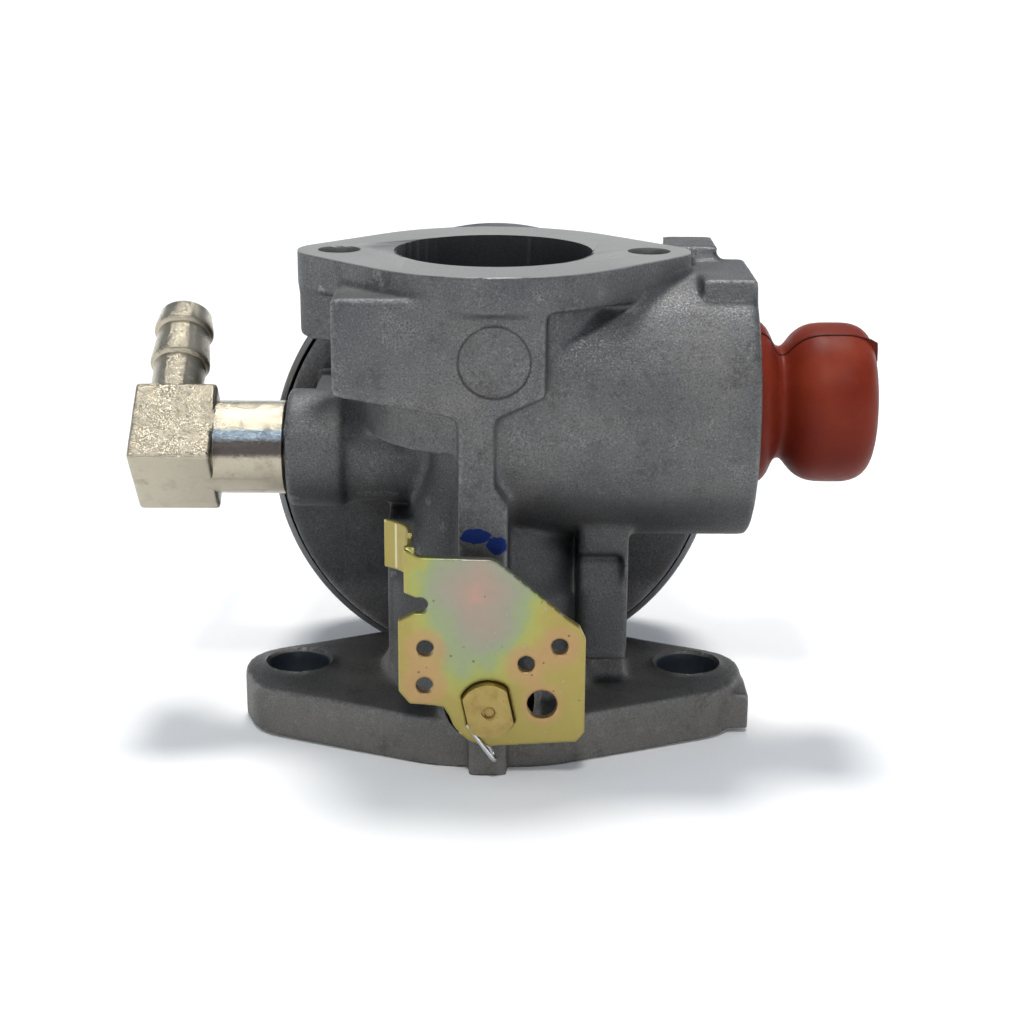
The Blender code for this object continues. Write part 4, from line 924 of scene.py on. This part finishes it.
black_rubber = moulded_finish("black_rubber_seal", (0.018, 0.018, 0.018), 0.55)
fibre = moulded_finish("pressed_red_fibre", (0.30, 0.075, 0.045), 0.75, 0.0003, 0.00004)
float_plastic = moulded_finish("moulded_black_plastic", (0.028, 0.028, 0.030), 0.40)
softened("bowl_nut_washer", "fibre_washer", fibre, 0.08)
softened("shaft_dust_seal", "dust_seal", black_rubber, 0.06)
softened("inlet_seat", "needle_seat", black_rubber, 0.08)
softened("bowl_gasket", "gasket", black_rubber, 0.02, 1, 60.0)
softened("float", "float_ring", float_plastic, 0.20)
softened("needle_spring_clip", "needle_clip", steel, 0.01, 1, 60.0)
softened("primer_retainer_ring", "retaining_ring", steel, 0.08)

# %% [markdown]
# ## The float bowl
#
# A bowl is drawn from sheet, so its bottom corner and its shoulder flow in wide radii, and its rim keeps the
# press's cut edge. A spun outline gives exactly that. The steel is dull plated, with rings left by the press.


# %% Arcs in an outline
def arc(centre, radius, start, end, count):
    """Points of an arc in an outline, angles in degrees from the radius direction."""
    points = []
    for step in range(count + 1):
        angle = math.radians(start + (end - start) * step / count)
        points.append((centre[0] + radius * math.cos(angle), centre[1] + radius * math.sin(angle)))
    return points


# %% Bowl
def bowl_outline():
    """The bowl's sheet, out along its outer side and back along its inner side."""
    rim, sheet, depth, shoulder = 28.5, 0.8, 25.0, 1.2
    wall = rim - shoulder
    outside = [(rim - 0.15, 0.0), (rim, 0.15), (rim, 1.9)]
    outside += arc((rim - 0.7, 1.9), 0.7, 0, 60, 5)
    outside += arc((wall + 0.7, 4.4), 0.7, 240, 180, 5)
    outside += arc((wall - 5.0, depth - 5.0), 5.0, 0, 90, 12)
    outside += [(14.0, depth), (13.4, depth - 0.25), (7.6, depth - 0.25), (7.0, depth), (3.2, depth)]
    inside = [(3.2, depth - sheet), (7.0, depth - sheet), (14.0, depth - sheet)]
    inside += arc((wall - 5.0, depth - 5.0), 5.0 - sheet, 90, 0, 12)
    inside += [(wall - sheet, 3.4), (rim - sheet, 2.2), (rim - sheet, 0.1), (rim - sheet + 0.1, 0.0)]
    return outside + inside + [outside[0]]


def bowl_finish():
    """Dull plated steel with faint press rings, and edges made light: partly rubbed bare, partly a painted
    highlight.
    """
    finish = Finish("drawn_plated_steel", metallic=0.9)
    off_axis = finish.distance(finish.place_signal(BOWL_AXIS, (1, 0, 1)))
    outward = finish.node("CombineXYZ", {}, {0: off_axis})
    rings = finish.noise(0.0007, 2.0, 0.5, Signal(finish, outward.outputs[0]))
    clouds = finish.fade(finish.noise(0.006, 4.0, 0.6), 0.35, 0.70)
    base = finish.mix(clouds, (0.022, 0.022, 0.023), (0.040, 0.040, 0.042))
    scratches = finish.fade(finish.noise(0.00018, 2.0, 0.6), 0.66, 0.75)
    base = finish.mix(scratches * 0.4, base, (0.24, 0.24, 0.25))
    # Lighter edges: partly rubbed bare, partly a painted highlight.
    edge = finish.fade(finish.edges(), 0.53, 0.60)
    base = finish.mix(edge * 0.8, base, (0.50, 0.50, 0.52))
    normal = finish.bump(rings, 0.00002, 0.4)
    return finish.wear(base_color=base, roughness=clouds * 0.12 + 0.36, normal=normal)


bowl_foot = place(-0.1, 18.9, 27.0)
bowl = as_object("bowl", turned(bowl_outline(), bowl_foot, Y, 128), bowl_finish().material)
shade(bowl)
stand_for(bowl, "fuel_bowl")

# %% [markdown]
# ## The inlet elbow
#
# It starts as a forged block, is drilled, and then a lathe turns the stem and the hose barb before plating. Its
# upper front face keeps the coarse forged skin, so that face alone is roughened, in the mesh and in its bump.
# The bluish and the dark band along the front of the stem stand for what it mirrors in a workshop, and are
# part of its colour.

# %% Elbow
RISE = math.radians(39.5)
STEM_RADIUS = 5.6
rise = Vector((0, math.cos(RISE), math.sin(RISE)))
across = Vector((0, -math.sin(RISE), math.cos(RISE)))
BLOCK = (10.0, 11.2, 11.2)
BARB_X = -39.1
BLOCK_X = -38.1
LUMP_GRAIN, PIMPLE_GRAIN, WAVE_GRAIN = 1400, 3100, 260


def forged_block():
    """The block, turned about the stem's axis, with soft edges and a hammered skin."""
    bm = bmesh.new()
    bmesh.ops.create_cube(bm, size=1.0)
    bmesh.ops.scale(bm, vec=Vector(BLOCK) * MM, verts=bm.verts[:])
    bmesh.ops.bevel(
        bm,
        geom=bm.edges[:],
        offset=0.55 * MM,
        affect="EDGES",
        segments=3,
        profile=0.5,
        material=-1,
    )
    tip = Matrix.Rotation(RISE, 3, "X")
    bmesh.ops.rotate(bm, cent=(0, 0, 0), matrix=tip, verts=bm.verts[:])
    bmesh.ops.translate(bm, vec=ELBOW_AXIS + X * BLOCK_X * MM, verts=bm.verts[:])
    block = as_object("block", bm)
    modify(block, "REMESH", mode="VOXEL", voxel_size=0.18 * MM)
    bake(block)
    modify(block, "SMOOTH", factor=0.5, iterations=4)
    bake(block)
    for vertex in block.data.vertices:
        forged = max(0.0, vertex.normal.dot(across) - 0.6) / 0.4
        lump = noise.noise(vertex.co * LUMP_GRAIN) + 0.6 * noise.noise(vertex.co * PIMPLE_GRAIN)
        wave = noise.noise(vertex.co * WAVE_GRAIN)
        rise_by = lump * (0.012 + 0.045 * forged) + wave * 0.05 - 0.06
        vertex.co += vertex.normal * rise_by * MM
    return block


def stem_outline():
    """The stem, with a thin pilot that goes into the casting."""
    left, right, tip = -34.5, -24.9, -20.1
    collar = [(0, left), (STEM_RADIUS, left), (STEM_RADIUS, right - 0.15), (5.45, right)]
    return collar + [(3.1, right), (3.1, tip - 0.1), (2.9, tip), (0, tip)]


def barb_outline():
    """A hose barb: two sharp rings, each with a long slope towards the tip."""
    foot = BLOCK[1] / 2 - 1.0
    end = foot + 15.7
    first, second = end - 3.1, end - 8.1
    return [
        (0, foot),
        (3.2, foot),
        (3.2, second - 0.25),
        (3.62, second),
        (3.68, second + 0.15),
        (3.68, second + 0.5),
        (3.2, first - 0.25),
        (3.62, first),
        (3.68, first + 0.15),
        (3.68, first + 0.6),
        (3.25, end - 0.35),
        (2.95, end),
        (0, end),
    ]


def nickel_finish():
    """Nickel plate: coarse on the forged face, stained elsewhere, with two bands on the stem."""
    finish = Finish("nickel_plate", metallic=1.0)
    _, front, up = finish.facing()
    forged = finish.fade(front * across.y + up * across.z, 0.86, 0.96)
    x, y, z = finish.axes(finish.place_signal(ELBOW_AXIS))
    stem = finish.fade(x, -33.4 * MM, -33.0 * MM)
    forged = forged * (1.0 - stem)
    grit = finish.noise(0.00042, 3.0, 0.7)
    lines = finish.noise(0.00020, 2.0, 0.6, finish.place_signal(scale=(1, 6, 6)))
    stain = finish.fade(finish.noise(0.0022, 4.0, 0.65), 0.50, 0.74)
    base = finish.mix(stain * 0.40, (0.45, 0.405, 0.315), (0.21, 0.17, 0.125))
    pits = finish.fade(finish.cells(0.0013), 0.09, 0.04) * (1.0 - forged)
    base = finish.mix(pits * 0.6, base, (0.10, 0.08, 0.06))
    base = finish.mix(forged * finish.fade(grit, 0.50, 0.34) * 0.65, base, (0.26, 0.21, 0.13))
    level = z + (grit - 0.5) * 0.0009
    front_side = stem * (y < 0.0)
    bluish = finish.fade(abs(level - 2.65 * MM), 1.0 * MM, 0.3 * MM) * front_side
    base = finish.mix(bluish * 0.65, base, (0.13, 0.23, 0.34))
    dusky = finish.fade(abs(level - 1.25 * MM), 1.35 * MM, 0.6 * MM) * front_side
    base = finish.mix(dusky * 0.88, base, (0.048, 0.040, 0.042))
    roughness = stain * 0.14 + forged * 0.10 + 0.17
    height = grit * forged + lines * (1.0 - forged) * 0.12
    normal = finish.bump(height, 0.00034, 0.8)
    return finish.wear(base_color=base, roughness=roughness, normal=normal)


elbow = forged_block()
cut(elbow, as_object("stem", turned(stem_outline(), ELBOW_AXIS, X, 96)), "UNION")
barb_foot = ELBOW_AXIS + X * BARB_X * MM
cut(elbow, as_object("barb", turned(barb_outline(), barb_foot, rise, 96)), "UNION")
cut(elbow, as_object("stem_bore", rod(ELBOW_AXIS, X, 1.9, BARB_X, -19.0, 48)))
cut(elbow, as_object("barb_bore", rod(barb_foot, rise, 1.9, 0.0, 22.0, 48)))
elbow.name = "elbow"
bake(elbow, nickel_finish().material)
shade(elbow, 38.0)
stand_for(elbow, "fuel_inlet_elbow")

# %% [markdown]
# ## The return spring
#
# A torsion spring is one wire: two turns round the shaft, a leg that runs down to the casting's block, and a tail
# bent back up in front of the lever. A curve with a round bevel follows a path of points, and is then made a mesh.


# %% The spring's path
def spring_path():
    """Points of the wire, from the coil's back turn to the tip of its tail."""
    back, front, turns, radius = -18.95, -20.75, 2.0, 3.7
    last = math.radians(245.0)
    steps = 72
    points = []
    for step in range(steps + 1):
        share = step / steps
        angle = last - math.tau * turns * (1 - share)
        points.append(
            SHAFT_AXIS
            + X * radius * math.cos(angle) * MM
            + Z * radius * math.sin(angle) * MM
            + Y * (back + (front - back) * share) * MM
        )
    points += [place(-0.9, -20.85, 4.9), place(-0.1, -20.95, 3.9), place(0.35, -21.3, 3.2)]
    points += [place(0.50, -21.9, 2.85), place(0.40, -22.5, 3.0), place(0.05, -22.82, 3.5)]
    points += [place(-0.9, -22.88, 4.9), place(-2.68, -22.9, 7.5)]
    return points


print("spring path of", len(spring_path()), "points")


# %% Spring
def wire(name, points, radius, finish):
    """A round wire along the points, as a mesh."""
    curve = bpy.data.curves.new(name, "CURVE")
    curve.dimensions = "3D"
    curve.bevel_depth = radius * MM
    curve.bevel_resolution = 4
    curve.use_fill_caps = True
    spline = curve.splines.new("POLY")
    spline.points.add(len(points) - 1)
    for spot, point in zip(spline.points, points):
        spot.co = (*point, 1.0)
    drawn = bpy.data.objects.new(name + "_curve", curve)
    bpy.context.scene.collection.objects.link(drawn)
    graph = bpy.context.evaluated_depsgraph_get()
    bm = bmesh.new()
    bm.from_mesh(bpy.data.meshes.new_from_object(drawn.evaluated_get(graph)))
    bpy.data.objects.remove(drawn)
    bmesh.ops.remove_doubles(bm, verts=bm.verts[:], dist=1e-7)
    bmesh.ops.recalc_face_normals(bm, faces=bm.faces[:])
    return as_object(name, bm, finish.material)


spring = wire("return_spring", spring_path(), 0.25, steel)
shade(spring, 50.0)
stand_for(spring, "throttle_return_spring")

# %% [markdown]
# ## The primer bulb
#
# The bulb is moulded in silicone-like red rubber in a two-part tool, so a thin flash line runs along it where the
# halves met, with a torn fin at the end. The frame splits the bulb in a wall and a pressed face. Here it is one
# skin, spun from a smooth outline.

# %% Bulb
BULB_OUTSIDE = [
    (9.7, 27.8),
    (9.7, 30.4),
    (9.55, 31.1),
    (9.05, 31.75),
    (8.2, 32.25),
    (7.3, 32.6),
    (6.75, 33.0),
    (6.55, 33.5),
    (6.75, 34.0),
    (7.35, 34.45),
    (8.0, 34.95),
    (8.6, 35.6),
    (9.05, 36.4),
    (9.32, 37.3),
    (9.4, 38.4),
    (9.4, 39.8),
    (9.4, 41.0),
    (9.3, 41.8),
    (9.0, 42.7),
    (8.5, 43.4),
    (7.8, 43.95),
    (6.9, 44.3),
    (5.6, 44.5),
    (4.0, 44.62),
    (2.0, 44.68),
    (0.0, 44.7),
]
BULB_INSIDE = [
    (0.0, 42.6),
    (4.0, 42.55),
    (6.4, 42.3),
    (7.2, 41.5),
    (7.2, 37.0),
    (6.2, 35.6),
    (4.3, 34.6),
    (4.2, 25.0),
    (9.7, 25.0),
    (9.7, 26.2),
    (8.2, 26.2),
    (8.2, 27.8),
    (9.7, 27.8),
]
FLASH_ANGLE = math.radians(69.0)
flash_out = -Y * math.cos(FLASH_ANGLE) + Z * math.sin(FLASH_ANGLE)
TORN_AT = 43.9


def rubber_finish():
    """Red rubber: cloudy, dusty, with painted shade underneath and a dark flash line on its upper side."""
    finish = Finish("red_primer_rubber", metallic=0.0)
    finish.shader.inputs["Specular IOR Level"].default_value = 0.10
    clouds = finish.noise(0.007, 3.0, 0.5)
    powder = finish.noise(0.0011, 4.0, 0.65)
    patches = finish.fade(clouds, 0.35, 0.65)
    base = finish.mix(patches, (0.165, 0.019, 0.0080), (0.215, 0.030, 0.0125))
    base = finish.mix(finish.fade(powder, 0.50, 0.78) * 0.15, base, (0.24, 0.065, 0.045))
    _, y, z = finish.axes(finish.place_signal(BULB_AXIS))
    across_line = abs(y * flash_out.z - z * flash_out.y)
    upper = z > 0.0
    # Painted shade: darker towards the underside.
    base = finish.mix(finish.fade(z, 6 * MM, -5 * MM) * 0.62, base, (0.080, 0.0085, 0.0050))
    line = finish.fade(across_line, 0.24 * MM, 0.10 * MM) * upper
    base = finish.mix(line * 0.92, base, (0.028, 0.008, 0.007))
    roughness = finish.fade(powder, 0.3, 0.7, 0.40, 0.50)
    fine = finish.noise(0.00035, 3.0, 0.6)
    normal = finish.bump(fine, 0.000012, 0.5)
    return finish.wear(base_color=base, roughness=roughness, normal=normal)


def flash_rib():
    """The flash: a thin wall standing on the outline, taller and torn near the end."""
    bm = bmesh.new()
    rows = []
    for radius, along in BULB_OUTSIDE[1:-3]:
        torn = max(0.0, 1 - abs(along - TORN_AT) / 1.1)
        height = 0.10 + 0.50 * torn + 0.04 * noise.noise(Vector((along * 1.9, 0, 0)))
        foot = BULB_AXIS + X * along * MM + flash_out * (radius - 0.25) * MM
        slope = 0.85 * torn
        crest = foot + (flash_out * (height + 0.25) + X * slope * height) * MM
        rows.append((bm.verts.new(foot), bm.verts.new(crest)))
    for (foot, crest), (next_foot, next_crest) in zip(rows, rows[1:]):
        bm.faces.new((foot, next_foot, next_crest, crest))
    bmesh.ops.recalc_face_normals(bm, faces=bm.faces[:])
    bmesh.ops.solidify(bm, geom=bm.faces[:], thickness=0.16 * MM)
    bmesh.ops.recalc_face_normals(bm, faces=bm.faces[:])
    return bm


bulb = as_object("primer_bulb", turned(BULB_OUTSIDE + BULB_INSIDE, BULB_AXIS, X, 96))
modify(bulb, "SUBSURF", levels=1, render_levels=1)
bake(bulb)
cut(bulb, as_object("flash", flash_rib()), "UNION")
bake(bulb, rubber_finish().material)
shade(bulb, 42.0)
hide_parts("primer_bulb_wall", "primer_bulb_face")
place(35.5, 0, 39.2)
place(43.8, 0, 39.2)
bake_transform(bulb)
print("bulb has", len(bulb.data.polygons), "faces")

# %% [markdown]
# ## Floor and light
#
# The carburetor rests on the front edge of its engine flange and on the rim of its bowl, so it leans a little.
# The floor is drawn through those two lines, as a wide dish whose far parts glow, so that no horizon shows. A
# bright overhead panel, a narrow one in front and a room that is pale above and behind but dark at eye level
# give the plated parts something to mirror.

# %% Floor
flange_front = place(0, -17.8, 0)
rim_foot = Vector((0, place(0, 20.0, 0).y, bowl_low.z))
lean = math.atan2(rim_foot.z - flange_front.z, rim_foot.y - flange_front.y)
DISH = [(0, 0), (1200, 0), (2000, 25), (3000, 130), (4000, 340), (5000, 700)]
GAP = 0.00005
floor_bm = turned(DISH, Vector((0, 0, 0)), Z, 96)
tilt = Matrix.Rotation(lean, 3, "X")
under_flange = (0, flange_front.y, flange_front.z - GAP)
bmesh.ops.rotate(floor_bm, cent=(0, 0, 0), matrix=tilt, verts=floor_bm.verts[:])
bmesh.ops.translate(floor_bm, vec=under_flange, verts=floor_bm.verts[:])
if floor_bm.faces[0].normal.z < 0:
    bmesh.ops.reverse_faces(floor_bm, faces=floor_bm.faces[:])
paper = Finish("white_paper", metallic=0.0)
shade_noise = paper.noise(0.05, 2.0, 0.5)
white = paper.mix(shade_noise, (0.90, 0.90, 0.90), (0.93, 0.93, 0.93))
paper.wear(base_color=white, roughness=shade_noise * 0.1 + 0.8)
away = paper.distance(paper.place_signal())
paper.shader.inputs["Emission Strength"].default_value = 1.0
glow = paper.mix(paper.fade(away, 0.5, 2.0), (0.06, 0.06, 0.06), (0.90, 0.90, 0.90))
paper.plug(paper.shader.inputs["Emission Color"], glow)
floor = as_object("floor", floor_bm, paper.material)
shade(floor)
print("floor leans", round(math.degrees(lean), 2), "degrees")


# %% Lights
def panel(name, direction, strength, width, colour):
    """A far light panel, seen from the object along direction, so many degrees wide."""
    light = bpy.data.lights.new(name, "SUN")
    light.energy = strength
    light.angle = math.radians(width)
    light.color = colour
    lamp = bpy.data.objects.new(name, light)
    lamp.matrix_world = Vector(direction).to_track_quat("Z", "Y").to_matrix().to_4x4()
    bpy.context.scene.collection.objects.link(lamp)
    return lamp


panel("ceiling_panel", (0.0, 0.34, 1.0), 2.15, 15.0, (1.0, 0.985, 0.96))
panel("front_panel", (0.0, -0.60, 0.80), 1.10, 8.0, (1.0, 0.985, 0.955))
print("lights:", [light.name for light in bpy.data.lights])

# %% Room
EYE_LEVEL_TO_SKY = [
    (0.0, (0.030, 0.024, 0.028)),
    (0.26, (0.05, 0.05, 0.07)),
    (0.46, (0.42, 0.55, 0.72)),
    (0.80, (0.66, 0.76, 0.88)),
]
ROOM_BEHIND = (0.74, 0.80, 0.88, 1.0)
ROOM_STRENGTH = 0.52
world = bpy.data.worlds.new("room")
world.use_nodes = True
tree = world.node_tree
sky = tree.nodes["Background"]
direction = tree.nodes.new("ShaderNodeTexCoord")
split = tree.nodes.new("ShaderNodeSeparateXYZ")
tree.links.new(direction.outputs["Generated"], split.inputs[0])
front = tree.nodes.new("ShaderNodeValToRGB")
paper.fill_ramp(front.color_ramp, EYE_LEVEL_TO_SKY)
tree.links.new(split.outputs[2], front.inputs[0])
backness = tree.nodes.new("ShaderNodeMapRange")
backness.interpolation_type = "SMOOTHSTEP"
backness.inputs["From Min"].default_value = -0.35
backness.inputs["From Max"].default_value = 0.45
tree.links.new(split.outputs[1], backness.inputs["Value"])
both = tree.nodes.new("ShaderNodeMix")
both.data_type = "RGBA"
tree.links.new(backness.outputs[0], both.inputs[0])
tree.links.new(front.outputs[0], both.inputs[6])
both.inputs[7].default_value = ROOM_BEHIND
tree.links.new(both.outputs[2], sky.inputs[0])
sky.inputs[1].default_value = ROOM_STRENGTH
bpy.context.scene.world = world
bpy.context.scene.view_settings.view_transform = "Standard"
print("room of strength", ROOM_STRENGTH)

# %% [markdown]
